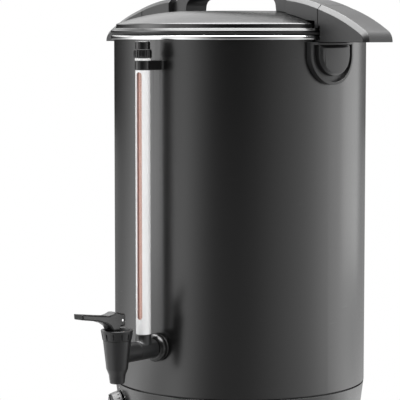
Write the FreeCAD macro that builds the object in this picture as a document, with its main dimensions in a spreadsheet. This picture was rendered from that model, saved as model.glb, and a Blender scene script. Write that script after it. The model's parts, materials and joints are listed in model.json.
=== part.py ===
import FreeCAD, Part
import math
import os
import re
import Sketcher
from FreeCAD import Placement, Rotation, Vector

# Hot water urn with a double wall, a sight gauge and a lever tap.
# Millimetres, +Z up. The urn's upright axis is the Z axis and the feet stand on Z = 0.
# The tap and the gauge look along -Y and the two side handles lie on -X and +X.

doc = FreeCAD.newDocument("urn")
sheet = doc.addObject("Spreadsheet::Sheet", "Sizes")

# Driving sizes
SIZES = [
    # Body and base
    ("body_radius", 135, "outside of the black shell"),
    ("shell_wall", 1, "sheet of the shell"),
    ("shell_height", 365.5, "seam above the base to the underside of the rim ring"),
    ("foot_height", 9, "rubber feet"),
    ("skirt_height", 70, "base skirt from the feet to the seam"),
    ("skirt_taper", 9, "how far the skirt draws in towards its bottom edge"),
    ("skirt_wall", 1.6, "wall of the skirt"),
    ("skirt_step", 0.3, "skirt set back from the shell at the seam"),
    ("seam_gap", 1.8, "dark groove between shell and skirt"),
    ("groove_depth", 3, "how deep that groove is let into the collar"),
    ("collar_height", 8, "collar of the skirt that stands up inside the shell"),
    ("seat_gap", 0.3, "gap between seated pieces that are not pressed together"),
    ("lip_width", 12, "inward lip at the bottom of the skirt"),
    ("plate_wall", 1.2, "base plate"),
    # Tank and rim
    ("wall_space", 9, "inner tank inside the outside of the shell"),
    ("tank_wall", 1, "sheet of the tank"),
    ("tank_lift", 17, "underside of the tank floor above the seam"),
    ("tank_corner", 8, "radius where the floor meets the wall"),
    ("flange_rise", 3, "underside of the tank flange above the rim level"),
    ("flange_reach", 0.4, "tank flange beyond the shell"),
    ("rim_fit", 0.6, "gap between the shell and the rim ring"),
    ("rim_reach", 3.2, "rim ring beyond the shell"),
    ("rim_height", 5, "height of the rim ring"),
    ("rim_lip", 4, "how far the ring laps inwards over the flange"),
    ("rim_round", 2.2, "rounding of the rim ring"),
    # Lid
    ("lid_wall", 0.8, "sheet of the lid"),
    ("lid_reach", 3.6, "lid flange beyond the shell"),
    ("lid_lip_level", 7.4, "lower edge of the lid flange above the rim level"),
    ("lid_flange_level", 11.6, "top of the lid flange above the rim level"),
    ("shoulder_inset", 2.3, "lid shoulder inside the shell radius"),
    ("shoulder_level", 16.5, "top of the lid shoulder above the rim level"),
    ("shoulder_round", 3, "rounding of the lid shoulder"),
    ("dome_level", 30, "top of the lid above the rim level"),
    ("dome_flat", 54, "radius of the flat middle of the lid"),
    ("gasket_wall", 1.6, "lip of the lid gasket inside the tank"),
    ("gasket_drop", 4, "lip of the gasket below the rim level"),
    ("gasket_fit", 0.4, "gap between the gasket lip and the tank"),
    # Lid handle and side handles share one long bowed outline
    ("handle_turn", -8.5, "all handles turned about the axis, in degrees"),
    ("handle_width", 43, "width of the wide parts of all handles"),
    ("grip_width", 30, "width of the grip in the middle of the lid handle"),
    ("grip_level", 64, "top of the grip above the rim level"),
    ("grip_depth", 11, "thickness of the grip"),
    ("lug_reach", 43, "inner end of the wide lug, inside the shell radius"),
    ("lug_level", 44.5, "top of the lug at its inner end, above the rim level"),
    ("brow_reach", 14, "first bend of the outline beyond the shell"),
    ("brow_level", 32, "height of the first bend above the rim level"),
    ("hood_reach", 65, "second bend of the outline beyond the shell"),
    ("hood_level", 9, "height of the second bend above the rim level"),
    ("nose_ahead", 5.5, "outer end of the side handle beyond its second bend"),
    ("nose_drop", 2.4, "underside of the side handle below the rim level"),
    ("lug_curve", 225, "radius of the outline over the lug"),
    ("brow_curve", 215, "radius of the outline over the hood"),
    ("nose_curve", 13.5, "radius of the outline at the nose"),
    ("handle_chamfer", 4.5, "chamfer along the handles"),
    ("split_reach", 4.5, "joint between lid handle and side handle, beyond the shell"),
    ("split_gap", 0.5, "gap in that joint"),
    ("hole_half", 75, "half the length of the hand hole at the lid"),
    ("hole_lean", 6, "how much shorter the half hole is under the grip"),
    ("hole_round", 9, "rounding under the grip"),
    ("relief_reach", 2.4, "hollow in the lug round the lid shoulder"),
    ("hood_wall", 3.5, "walls of the side handle's hood"),
    ("finger_start", 11, "inner side of the finger recess beyond the shell"),
    ("lid_screw_circle", 112, "lid handle screws from the axis"),
    ("lid_screw_spread", 10, "lid handle screws either side of the handle's middle"),
    ("lid_screw_depth", 7, "lid handle screws above the lid"),
    # Wall plate of each side handle and the cover in it
    ("wall_plate_half", 31, "half width of the wall plate"),
    ("wall_plate_straight", 15, "straight part of the plate below the rim level"),
    ("wall_plate_depth", 6.8, "how far the plate stands out from the shell"),
    ("wall_plate_rim", 3.2, "raised rim round the plate"),
    ("wall_plate_floor", 2.1, "floor inside the raised rim"),
    ("wall_plate_head", 2.6, "thickness of the plate left under the hood"),
    ("cover_half", 22, "half width of the cover"),
    ("cover_drop", 5.4, "top of the cover below the rim level"),
    ("cover_rise", 8, "how far the cover stands out from the plate's floor"),
    ("cover_chamfer", 2.6, "chamfer round the cover"),
    ("upper_screw_drop", 16, "upper handle screw below the rim level"),
    ("lower_screw_drop", 29, "lower handle screw below the rim level"),
    ("backing_half", 8, "half width of the backing plate inside the shell"),
    ("backing_wall", 3, "thickness of the backing plate"),
    ("backing_end", 10, "backing plate beyond its screws"),
    # Gauge
    ("gauge_offset", 22.7, "gauge axis from the shell"),
    ("shield_radius", 7.65, "outside of the gauge shield"),
    ("shield_wall", 1, "wall of the shield"),
    ("shield_turn", 8, "how far the slot is turned towards +X, in degrees"),
    ("slot_width", 6.2, "slot in the shield"),
    ("slot_top", 32.6, "upper end of the slot below the rim level"),
    ("slot_foot", 15.3, "lower end of the slot above the gauge socket"),
    ("glass_radius", 5.6, "outside of the gauge glass"),
    ("glass_wall", 1.2, "wall of the gauge glass"),
    ("glass_fit", 0.15, "gap round the gauge glass"),
    ("clamp_bottom", 30.5, "lower face of the clamp below the rim level"),
    ("clamp_top", 20.9, "upper face of the clamp below the rim level"),
    ("clamp_radius", 8, "outside of the clamp round the glass"),
    ("saddle_half", 9.5, "half width of the clamp's foot on the shell"),
    ("saddle_depth", 3, "height of that foot"),
    ("saddle_screw", 4.5, "clamp screws either side of the middle"),
    ("clamp_screw_length", 10, "clamp screws outside the shell"),
    ("nut_bottom", 18.3, "lower face of the gauge nut below the rim level"),
    ("nut_top", 9.6, "upper face of the gauge nut below the rim level"),
    ("nut_radius", 9.3, "outside of the gauge nut"),
    ("cap_top", 1.4, "top of the gauge cap below the rim level"),
    ("cap_radius", 7.6, "outside of the gauge cap"),
    ("cap_roof", 3, "thickness of the top of the cap"),
    # Tee and wall fittings
    ("tap_rise", 49.2, "axis of the tap pipe above the seam"),
    ("pipe_radius", 10, "outside of the pipe"),
    ("pipe_bore", 6, "bore of the pipe"),
    ("socket_radius", 8.2, "outside of the gauge socket"),
    ("socket_rise", 16.5, "top of the gauge socket above the pipe axis"),
    ("socket_step", 8, "seat of the gauge seal above the pipe axis"),
    ("tee_end", 34.7, "outer end of the tee beyond the shell"),
    ("shank_end", 13, "inner end of the shank inside the tank wall"),
    ("thread_fit", 0.05, "gap between threaded pieces"),
    ("wall_hole_fit", 0.4, "gap between the shank and the holes in the walls"),
    ("washer_radius", 14, "washers on the shank"),
    ("washer_wall", 2, "thickness of the washers"),
    ("flange_nut_radius", 14.7, "flange nut outside the shell"),
    ("flange_nut_height", 7.6, "thickness of the flange nut"),
    ("lock_nut_flats", 27, "lock nut inside the tank, across its flats"),
    ("lock_nut_height", 6, "thickness of the lock nut"),
    ("spacer_radius", 14, "spacer between the two walls"),
    # Tap
    ("cup_offset", 62.9, "tap axis from the shell"),
    ("cup_top", 15.2, "shoulder under the collar above the pipe axis"),
    ("cup_radius", 14.3, "tap body at that shoulder"),
    ("cup_waist", 11, "tap body above the step"),
    ("waist_drop", 14, "end of the cone below the pipe axis"),
    ("step_radius", 8.6, "tap body below the step"),
    ("step_drop", 20, "end of the step below the pipe axis"),
    ("spout_radius", 7.4, "end of the spout"),
    ("spout_drop", 29.1, "end of the spout below the pipe axis"),
    ("spout_bore", 4.5, "bore of the spout"),
    ("seat_drop", 13, "valve seat below the pipe axis"),
    ("seat_radius", 8.4, "hollow at the valve seat"),
    ("hollow_radius", 10.6, "hollow at the top of the tap body"),
    ("neck_radius", 12.4, "threaded neck of the tap body"),
    ("neck_top", 21, "top of the neck above the pipe axis"),
    ("spigot_length", 5, "spigot of the tap in the tee"),
    ("spigot_radius", 7.5, "outside of the spigot"),
    ("collar_foot", 14.7, "collar at its lower edge"),
    ("collar_brim", 16.6, "collar at its upper edge"),
    ("collar_top", 25.7, "top of the collar above the pipe axis"),
    ("collar_recess", 13.6, "radius of the recess in the collar's top"),
    ("recess_floor", 22.3, "floor of that recess above the pipe axis"),
    ("collar_slot", 1.4, "slots round the collar"),
    ("stem_radius", 3, "valve stem"),
    ("stem_fit", 0.08, "running gap round the stem"),
    ("stem_foot", 9, "lower end of the stem below the pipe axis"),
    ("pivot_rise", 35.6, "lever pin above the pipe axis"),
    ("pivot_setback", 2, "lever pin behind the tap axis"),
    ("eye_radius", 3.6, "eye of the stem"),
    ("eye_width", 5.6, "width of the eye"),
    ("pin_radius", 1.5, "lever pin"),
    ("pin_fit", 0.05, "running gap round the pin"),
    ("seat_cup_radius", 7.6, "rubber seat cup on the stem"),
    ("seat_cup_height", 7, "height of the seat cup"),
    ("wire_radius", 0.5, "wire of the tap spring"),
    ("spring_radius", 5, "middle of the tap spring's wire"),
    ("spring_turns", 6, "turns of the tap spring"),
    ("lever_width", 13, "width of the lever"),
    ("lever_length", 57, "lever tip from the tap axis"),
    ("lever_rise", 12, "top of the lever's tip above its pin"),
    ("lever_tip", 5.5, "thickness of the lever's tip"),
    ("lever_hump", 8.8, "top of the lever's hump above its pin"),
    ("lever_slot", 6.6, "slot of the lever for the stem's eye"),
    ("hub_reach", 4.2, "back of the lever behind its pin"),
    # Knob, switch, lamps and inlet on the skirt
    ("panel_drop", 25, "middle of the knob, switch and lamps below the seam"),
    ("knob_angle", -34.5, "knob from the tap, towards +X, in degrees"),
    ("switch_angle", 32, "switch from the tap, in degrees"),
    ("lamp_angle", 8, "each pilot lamp from the tap, in degrees"),
    ("knob_radius", 16, "control knob"),
    ("knob_height", 11.5, "control knob"),
    ("knob_gap", 0.8, "gap between the knob and the skirt"),
    ("thermostat_half", 16, "half width of the thermostat's case"),
    ("thermostat_height", 18, "height of the thermostat's case"),
    ("thermostat_back", 24, "back of that case behind the skirt"),
    ("shaft_radius", 3, "thermostat shaft"),
    ("bush_radius", 4.8, "thermostat bush"),
    ("bush_nut_radius", 7.5, "thermostat nut, across its corners"),
    ("switch_length", 25, "opening of the switch frame"),
    ("switch_width", 10, "opening of the switch frame"),
    ("bezel_rim", 3, "rim of the switch frame round its opening"),
    ("rocker_reach", 12, "end faces of the rocker from its pivot"),
    ("rocker_sink", 4, "pivot of the rocker below the skirt's face"),
    ("rocker_rise", 24, "raised end of the rocker above its pivot, in degrees"),
    ("rocker_swing", 14, "how far the rocker tips, in degrees"),
    ("lamp_radius", 4.5, "pilot lamp lens"),
    ("lamp_depth", 14, "barrel of a pilot lamp"),
    ("inlet_height", 24.5, "hollow of the appliance inlet"),
    ("inlet_width", 16.5, "hollow of the appliance inlet"),
    ("inlet_depth", 17, "hollow of the appliance inlet"),
    ("inlet_side", 5, "flange of the inlet beside its hollow"),
    ("inlet_end", 13, "flange of the inlet above and below its hollow"),
    ("inlet_flange_wall", 2.4, "thickness of that flange"),
    ("inlet_screw_reach", 7.8, "inlet screws above and below its hollow"),
    ("inlet_level", 43, "middle of the appliance inlet above the ground"),
    # Heater and base
    ("heater_radius", 75, "heater plate"),
    ("heater_wall", 6, "thickness of the heater plate"),
    ("element_circle", 52, "middle of the heating element"),
    ("element_radius", 4.2, "tube of the heating element"),
    ("element_leg", 16, "cold ends of the heating element"),
    ("stud_radius", 4, "stud under the heater plate"),
    ("stud_nut_flats", 13, "nut on the stud, across its flats"),
    ("stud_nut_height", 6, "nut on the stud"),
    ("cutout_radius", 9, "dry-boil cut-out"),
    ("cutout_height", 7, "dry-boil cut-out"),
    ("cutout_place", 26, "cut-out from the axis"),
    ("foot_inset", 22, "feet inside the skirt's lower edge"),
    ("foot_radius", 13, "feet at the base plate"),
    ("foot_screw_radius", 2, "feet screws"),
]

row = 0
for alias, value, meaning in SIZES:
    row += 1
    sheet.set(f"A{row}", meaning)
    sheet.set(f"B{row}", str(value))
    sheet.setAlias(f"B{row}", alias)
doc.recompute()

# Places that follow from the driving sizes, used by name in the formulas below
DERIVED = {
    "seam_level": "foot_height + skirt_height",
    "rim_level": "seam_level + shell_height",
    "tank_floor": "seam_level + tank_lift",
    "tank_radius": "body_radius - wall_space",
    "flange_level": "rim_level + flange_rise",
    "skirt_foot": "body_radius - skirt_taper",
    "skirt_top": "seam_level - seam_gap",
    "skirt_inside": "skirt_foot - skirt_wall",
    "collar_radius": "body_radius - shell_wall - seat_gap",
    "shoulder": "body_radius - shoulder_inset",
    "lid_radius": "body_radius + lid_reach",
    "dome_rise": "dome_level - shoulder_level",
    "dome_curve": "((shoulder - dome_flat)^2 + dome_rise^2) / (2 * dome_rise)",
    "inner_dome_curve": "((shoulder - lid_wall - dome_flat)^2 + dome_rise^2) / (2 * dome_rise)",
    "lug_end": "body_radius - lug_reach",
    "grip_rise": "grip_level - lug_level",
    "grip_curve": "(lug_end^2 + grip_rise^2) / (2 * grip_rise)",
    "brow": "body_radius + brow_reach",
    "hood": "body_radius + hood_reach",
    "nose": "hood + nose_ahead",
    "split": "body_radius + split_reach",
    "plate_face": "body_radius + wall_plate_depth",
    "plate_floor": "body_radius + seat_gap + wall_plate_floor",
    "gauge_axis": "body_radius + gauge_offset",
    "cup_axis": "body_radius + cup_offset",
    "tap_level": "seam_level + tap_rise",
    "slot_level": "tap_level + socket_rise + slot_foot",
    "foot_circle": "skirt_foot - foot_inset",
    "tank_inside": "tank_radius - tank_wall",
    "heater_foot": "tank_floor - heater_wall",
}
ALIASES = {alias for alias, value, meaning in SIZES}


def formula(text):
    """Turn a formula in plain words into one that names the sheet's cells."""
    def cell(match):
        word = match.group(0)
        if word in DERIVED:
            return "(" + formula(DERIVED[word]) + ")"
        if word in ALIASES:
            return "Sizes." + word
        return word
    return re.sub(r"[a-z_]+", cell, str(text))


def size(text):
    """The number that a formula gives."""
    return float(sheet.evalExpression(formula(text)))


def new_body(label, place=None):
    """An empty body for one piece."""
    body = doc.addObject("PartDesign::Body", label)
    body.Label = label
    if place is not None:
        body.Placement = place
    return body


def new_sketch(body, name, plane, offset="0", turn=0):
    """A sketch on one of the body's own planes, moved out and turned about the upright axis."""
    sketch = body.newObject("Sketcher::SketchObject", name)
    support = [item for item in body.Origin.OriginFeatures if item.Role == plane][0]
    sketch.AttachmentSupport = (support, [""])
    sketch.MapMode = "FlatFace"
    sketch.AttachmentOffset = Placement(Vector(0, 0, size(offset)), Rotation(Vector(0, 1, 0), turn))
    if offset != "0":
        sketch.setExpression("AttachmentOffset.Base.z", formula(offset))
    return sketch


def pin_point(sketch, item, end, u, v):
    """Hold one point of a sketch at two formulas from the sketch's origin."""
    for kind, text in (("DistanceX", u), ("DistanceY", v)):
        index = sketch.addConstraint(Sketcher.Constraint(kind, -1, 1, item, end, size(text)))
        sketch.setExpression(f"Constraints[{index}]", formula(text))


def hold_radius(sketch, item, text):
    index = sketch.addConstraint(Sketcher.Constraint("Radius", item, size(text)))
    sketch.setExpression(f"Constraints[{index}]", formula(text))


def arc_between(start, end, radius, left):
    """A short arc from start to end, whose centre lies left or right of the way there."""
    chord = end - start
    half = chord.Length / 2
    rise = math.sqrt(max(radius ** 2 - half ** 2, 0))
    side = Vector(-chord.y, chord.x, 0).normalize()
    centre = (start + end) * 0.5 + side * (rise if left else -rise)
    first, last = (start, end) if left else (end, start)
    angles = [math.atan2(point.y - centre.y, point.x - centre.x) for point in (first, last)]
    if angles[1] <= angles[0]:
        angles[1] += 2 * math.pi
    circle = Part.Circle(centre, Vector(0, 0, 1), radius)
    return Part.ArcOfCircle(circle, angles[0], angles[1])


def draw_outline(sketch, corners):
    """Draw a closed outline. A corner is (u, v), or (u, v, side, radius) where an arc leaves it.

    The side says where the arc's centre lies, left or right. A half circle gives no radius.
    """
    points = [Vector(size(corner[0]), size(corner[1]), 0) for corner in corners]
    ends = []
    items = []
    for index, corner in enumerate(corners):
        start = points[index]
        end = points[(index + 1) % len(points)]
        if len(corner) == 2:
            items.append(sketch.addGeometry(Part.LineSegment(start, end)))
            ends.append((1, 2))
            continue
        left = corner[2] == "left"
        radius = size(corner[3]) if len(corner) == 4 else (end - start).Length / 2
        items.append(sketch.addGeometry(arc_between(start, end, radius, left)))
        ends.append((1, 2) if left else (2, 1))
    for index, corner in enumerate(corners):
        after = (index + 1) % len(corners)
        sketch.addConstraint(
            Sketcher.Constraint("Coincident", items[index], ends[index][1], items[after], ends[after][0])
        )
    for index, corner in enumerate(corners):
        pin_point(sketch, items[index], ends[index][0], corner[0], corner[1])
        if len(corner) == 4:
            hold_radius(sketch, items[index], corner[3])
        elif len(corner) == 3:
            level = sketch.addConstraint(
                Sketcher.Constraint("DistanceY", -1, 1, items[index], 3, size(corner[1]))
            )
            sketch.setExpression(f"Constraints[{level}]", formula(corner[1]))


def draw_circle(sketch, u, v, radius):
    circle = Part.Circle(Vector(size(u), size(v), 0), Vector(0, 0, 1), size(radius))
    item = sketch.addGeometry(circle)
    pin_point(sketch, item, 3, u, v)
    hold_radius(sketch, item, radius)


def box_corners(left, right, bottom, top):
    return [(left, bottom), (right, bottom), (right, top), (left, top)]


def hexagon_corners(flats, u="0", v="0"):
    """The corners of a hexagon with two sides upright, from its size across the flats."""
    half = f"({flats}) / 2"
    point = f"({flats}) / sqrt(3)"
    return [
        (f"{u} + {half}", f"{v} - ({point}) / 2"),
        (f"{u} + {half}", f"{v} + ({point}) / 2"),
        (u, f"{v} + {point}"),
        (f"{u} - {half}", f"{v} + ({point}) / 2"),
        (f"{u} - {half}", f"{v} - ({point}) / 2"),
        (u, f"{v} - {point}"),
    ]


def volume_before(body):
    doc.recompute()
    return body.Shape.Volume


def finish_cut(feature, before):
    """A cut that takes nothing away is a mistake, so it stops the build."""
    doc.recompute()
    if feature.Shape.Volume > before - 0.01:
        raise ValueError(f"{feature.Name} cuts nothing")
    return feature


def turn_solid(body, name, corners, plane="XZ_Plane"):
    """Turn an outline, drawn as radius and height, about the body's upright axis."""
    sketch = new_sketch(body, name + "_outline", plane)
    draw_outline(sketch, corners)
    feature = body.newObject("PartDesign::Revolution", name)
    feature.Profile = sketch
    feature.ReferenceAxis = (sketch, ["V_Axis"])
    feature.Angle = 360
    doc.recompute()
    return feature


def turn_cut(body, name, corners):
    """Cut away what an outline sweeps when it turns about the upright axis."""
    before = volume_before(body)
    sketch = new_sketch(body, name + "_outline", "XZ_Plane")
    draw_outline(sketch, corners)
    feature = body.newObject("PartDesign::Groove", name)
    feature.Profile = sketch
    feature.ReferenceAxis = (sketch, ["V_Axis"])
    feature.Angle = 360
    return finish_cut(feature, before)


def add_block(body, name, plane, outlines, length, offset="0", both=False, circles=(), reverse=False):
    """Pad one or more outlines or circles off a plane."""
    sketch = new_sketch(body, name + "_outline", plane, offset)
    for corners in outlines:
        draw_outline(sketch, corners)
    for u, v, radius in circles:
        draw_circle(sketch, u, v, radius)
    feature = body.newObject("PartDesign::Pad", name)
    feature.Profile = sketch
    feature.SideType = "Symmetric" if both else "One side"
    feature.Reversed = reverse
    feature.Length = size(length)
    feature.setExpression("Length", formula(length))
    doc.recompute()
    return feature


def cut_block(body, name, plane, outlines=(), length=None, offset="0", both=False, circles=(),
              forward=False, turn=0):
    """Pocket outlines or circles off a plane, forward along the plane's normal or back from it."""
    before = volume_before(body)
    sketch = new_sketch(body, name + "_outline", plane, offset, turn)
    for corners in outlines:
        draw_outline(sketch, corners)
    for u, v, radius in circles:
        draw_circle(sketch, u, v, radius)
    feature = body.newObject("PartDesign::Pocket", name)
    feature.Profile = sketch
    feature.SideType = "Symmetric" if both else "One side"
    feature.Reversed = forward
    if length is None:
        feature.Type = "ThroughAll"
    else:
        feature.Length = size(length)
        feature.setExpression("Length", formula(length))
    return finish_cut(feature, before)


def ring_edges(feature, radius, level):
    """The names of the round edges about the upright axis at a radius and a height."""
    names = []
    for index, edge in enumerate(feature.Shape.Edges, 1):
        curve = edge.Curve
        if not isinstance(curve, Part.Circle):
            continue
        if abs(curve.Radius - size(radius)) < 0.01 and abs(curve.Center.z - size(level)) < 0.01:
            if math.hypot(curve.Center.x, curve.Center.y) < 0.01:
                names.append(f"Edge{index}")
    return names


def chosen_edges(feature, wanted):
    """The names of the edges that a test accepts."""
    edges = enumerate(feature.Shape.Edges, 1)
    return [f"Edge{index}" for index, edge in edges if wanted(edge)]


def soften(body, feature, name, edges, amount, kind="Fillet"):
    """Round or chamfer the named edges of the last feature."""
    if not edges:
        raise ValueError(f"{name} finds no edges")
    dressed = body.newObject(f"PartDesign::{kind}", name)
    dressed.Base = (feature, edges)
    measure = "Radius" if kind == "Fillet" else "Size"
    setattr(dressed, measure, size(amount))
    dressed.setExpression(measure, formula(amount))
    doc.recompute()
    return dressed


def round_rings(body, feature, name, rings, amount):
    """Round the edges at each given radius and height."""
    edges = []
    for radius, level in rings:
        edges += ring_edges(feature, radius, level)
    return soften(body, feature, name, edges, amount)


def make_group(label, shape, places):
    """Identical loose pieces, such as screws, in one group."""
    group = doc.addObject("Part::Feature", label)
    group.Label = label
    copies = []
    for place in places:
        copy = shape.copy()
        copy.Placement = place.multiply(copy.Placement)
        copies.append(copy)
    group.Shape = Part.makeCompound(copies)
    return group


def screw_shape(head_radius, head_height, shank_radius, shank_length):
    """A pan head screw on +Z: the shank runs up from Z = 0 and the head hangs below it."""
    head = Part.makeCylinder(head_radius, head_height, Vector(0, 0, -head_height))
    rim = [edge for edge in head.Edges if abs(edge.BoundBox.ZMax + head_height) < 0.001]
    head = head.makeFillet(head_height * 0.4, [edge for edge in rim if edge.BoundBox.XLength > head_radius])
    bar = (head_radius * 1.2, head_radius * 0.24)
    for length, width in (bar, bar[::-1]):
        corner = Vector(-length / 2, -width / 2, -head_height)
        head = head.cut(Part.makeBox(length, width, head_height * 0.4, corner))
    shank = Part.makeCylinder(shank_radius, shank_length)
    return head.fuse(shank).removeSplitter()


def skirt_place(angle, level, out=0):
    """A place on the skirt's outside: local +Z points out of it and local +Y up along it."""
    turn = math.radians(angle)
    rise = size("skirt_top - foot_height")
    fall = size("skirt_taper - skirt_step")
    lean = math.atan2(fall, rise)
    radius = size("skirt_foot") + (level - size("foot_height")) * fall / rise
    side = Vector(math.cos(turn), math.sin(turn), 0)
    normal = Vector(math.sin(turn) * math.cos(lean), -math.cos(turn) * math.cos(lean), -math.sin(lean))
    up = normal.cross(side)
    point = Vector(math.sin(turn) * radius, -math.cos(turn) * radius, level) + normal * out
    return Placement(point, Rotation(side, up, normal, "ZXY"))


def towards(x, y, z, axis):
    """A place whose local +Z lies along an axis."""
    return Placement(Vector(x, y, z), Rotation(Vector(0, 0, 1), axis))


# Shell, tank and rim

shell = new_body("outer_shell")
turn_solid(shell, "shell_wall_sheet", box_corners(
    "body_radius - shell_wall", "body_radius", "seam_level", "flange_level"), "YZ_Plane")
cut_block(shell, "shell_shank_hole", "XZ_Plane", forward=True,
          circles=[("0", "tap_level", "pipe_radius + wall_hole_fit")])
cut_block(shell, "shell_clamp_holes", "XZ_Plane", forward=True, circles=[
    (side + "saddle_screw", "rim_level - (clamp_top + clamp_bottom) / 2", "1.6") for side in ("", "-")])
for side, outwards in (("right", True), ("left", False)):
    cut_block(shell, f"shell_handle_holes_{side}", "YZ_Plane", forward=outwards, turn=size("handle_turn"), circles=[
        ("0", "rim_level - upper_screw_drop", "2.6"), ("0", "rim_level - lower_screw_drop", "2.6")])

tank = new_body("inner_tank")
sheet_metal = turn_solid(tank, "tank_sheet", [
    ("0", "tank_floor"),
    ("tank_radius", "tank_floor"),
    ("tank_radius", "flange_level"),
    ("body_radius + flange_reach", "flange_level"),
    ("body_radius + flange_reach", "flange_level + tank_wall"),
    ("tank_inside", "flange_level + tank_wall"),
    ("tank_inside", "tank_floor + tank_wall"),
    ("0", "tank_floor + tank_wall"),
])
bent = round_rings(tank, sheet_metal, "tank_outer_corner", [("tank_radius", "tank_floor")], "tank_corner")
bent = round_rings(tank, bent, "tank_inner_corner",
                   [("tank_inside", "tank_floor + tank_wall")], "tank_corner - tank_wall")
bent = round_rings(tank, bent, "tank_mouth", [("tank_inside", "flange_level + tank_wall")], "2.5")
cut_block(tank, "tank_shank_hole", "XZ_Plane", forward=True,
          circles=[("0", "tap_level", "pipe_radius + wall_hole_fit")])

rim = new_body("rim_ring")
bead = turn_solid(rim, "rim_bead", [
    ("body_radius + rim_fit", "rim_level"),
    ("body_radius + rim_reach", "rim_level"),
    ("body_radius + rim_reach", "rim_level + rim_height"),
    ("body_radius - rim_lip", "rim_level + rim_height"),
    ("body_radius - rim_lip", "flange_level + tank_wall + seat_gap / 3"),
    ("body_radius + rim_fit", "flange_level + tank_wall + seat_gap / 3"),
])
round_rings(rim, bead, "rim_rounding", [
    ("body_radius + rim_reach", "rim_level"),
    ("body_radius + rim_reach", "rim_level + rim_height"),
], "rim_round")

# Lid

lid = new_body("lid_shell")
dome = turn_solid(lid, "lid_sheet", [
    ("0", "rim_level + dome_level - lid_wall"),
    ("dome_flat", "rim_level + dome_level - lid_wall", "right", "inner_dome_curve"),
    ("shoulder - lid_wall", "rim_level + shoulder_level - lid_wall"),
    ("shoulder - lid_wall", "rim_level + lid_flange_level - lid_wall"),
    ("lid_radius - lid_wall", "rim_level + lid_flange_level - lid_wall"),
    ("lid_radius - lid_wall", "rim_level + lid_lip_level"),
    ("lid_radius", "rim_level + lid_lip_level"),
    ("lid_radius", "rim_level + lid_flange_level"),
    ("shoulder", "rim_level + lid_flange_level"),
    ("shoulder", "rim_level + shoulder_level", "left", "dome_curve"),
    ("dome_flat", "rim_level + dome_level"),
    ("0", "rim_level + dome_level"),
])
dome = round_rings(lid, dome, "lid_shoulder_rounding",
                   [("shoulder", "rim_level + shoulder_level")], "shoulder_round")
dome = round_rings(lid, dome, "lid_shoulder_hollow",
                   [("shoulder - lid_wall", "rim_level + shoulder_level - lid_wall")], "shoulder_round - lid_wall")
dome = round_rings(lid, dome, "lid_flange_rounding",
                   [("lid_radius", "rim_level + lid_flange_level")], "lid_wall * 2")
LID_SCREWS = [(x + "lid_screw_circle", y + "lid_screw_spread") for x in ("", "-") for y in ("", "-")]
LID_HOLES = [(f"({x}) * cos(handle_turn) - ({y}) * sin(handle_turn)",
              f"({x}) * sin(handle_turn) + ({y}) * cos(handle_turn)") for x, y in LID_SCREWS]
cut_block(lid, "lid_screw_holes", "XY_Plane", forward=True,
          circles=[(x, y, "2.2") for x, y in LID_HOLES])

gasket = new_body("lid_gasket")
turn_solid(gasket, "gasket_ring", [
    ("tank_inside - gasket_fit - gasket_wall", "rim_level - gasket_drop"),
    ("tank_inside - gasket_fit", "rim_level - gasket_drop"),
    ("tank_inside - gasket_fit", "rim_level + rim_height + seat_gap"),
    ("lid_radius - lid_wall - seat_gap", "rim_level + rim_height + seat_gap"),
    ("lid_radius - lid_wall - seat_gap", "rim_level + lid_flange_level - lid_wall"),
    ("tank_inside - gasket_fit - gasket_wall", "rim_level + lid_flange_level - lid_wall"),
])


def lies_on_side(edge, half_width):
    """Whether an edge is curved and lies in one of the two flanks of a handle."""
    box = edge.BoundBox
    flat = box.YLength < 0.001
    return flat and abs(abs(box.YMin) - half_width) < 0.01 and isinstance(edge.Curve, Part.Circle)


handle_place = Placement(Vector(), Rotation(Vector(0, 0, 1), size("handle_turn")))
handle = new_body("lid_handle", handle_place)
add_block(handle, "grip", "XZ_Plane", [[
    ("-lug_end - 10", "rim_level"),
    ("lug_end + 10", "rim_level"),
    ("lug_end + 10", "rim_level + lug_level - 8"),
    ("lug_end", "rim_level + lug_level", "left", "grip_curve"),
    ("-lug_end", "rim_level + lug_level"),
    ("-lug_end - 10", "rim_level + lug_level - 8"),
]], "grip_width", both=True)
grip = handle.Tip
grip = soften(handle, grip, "grip_chamfer",
              chosen_edges(grip, lambda edge: lies_on_side(edge, size("grip_width / 2"))),
              "handle_chamfer", "Chamfer")
lug_outlines = []
for sign, turn_side in (("", "left"), ("-", "right")):
    lug_outlines.append([
        (f"{sign}(lug_end)", "rim_level"),
        (f"{sign}(brow)", "rim_level"),
        (f"{sign}(brow)", "rim_level + brow_level", turn_side, "lug_curve"),
        (f"{sign}(lug_end)", "rim_level + lug_level"),
    ])
lugs = add_block(handle, "lugs", "XZ_Plane", lug_outlines, "handle_width", both=True)
lugs = soften(handle, lugs, "lug_chamfer",
              chosen_edges(lugs, lambda edge: lies_on_side(edge, size("handle_width / 2"))),
              "handle_chamfer", "Chamfer")
hole_curve = "((hole_half - hole_lean)^2 + (hole_lean * 2)^2) / (4 * hole_lean)"
hole = cut_block(handle, "hand_hole", "XZ_Plane", [[
    ("-hole_half", "rim_level + 1"),
    ("hole_half", "rim_level + 1"),
    ("hole_half - hole_lean", "rim_level + grip_level - grip_depth - hole_lean * 2", "left", hole_curve),
    ("-hole_half + hole_lean", "rim_level + grip_level - grip_depth - hole_lean * 2"),
]], both=True)


def is_hole_corner(edge):
    box = edge.BoundBox
    corner = size("hole_half - hole_lean")
    return box.XLength < 0.01 and box.ZLength < 0.01 and abs(abs(box.XMin) - corner) < 0.5


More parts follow.
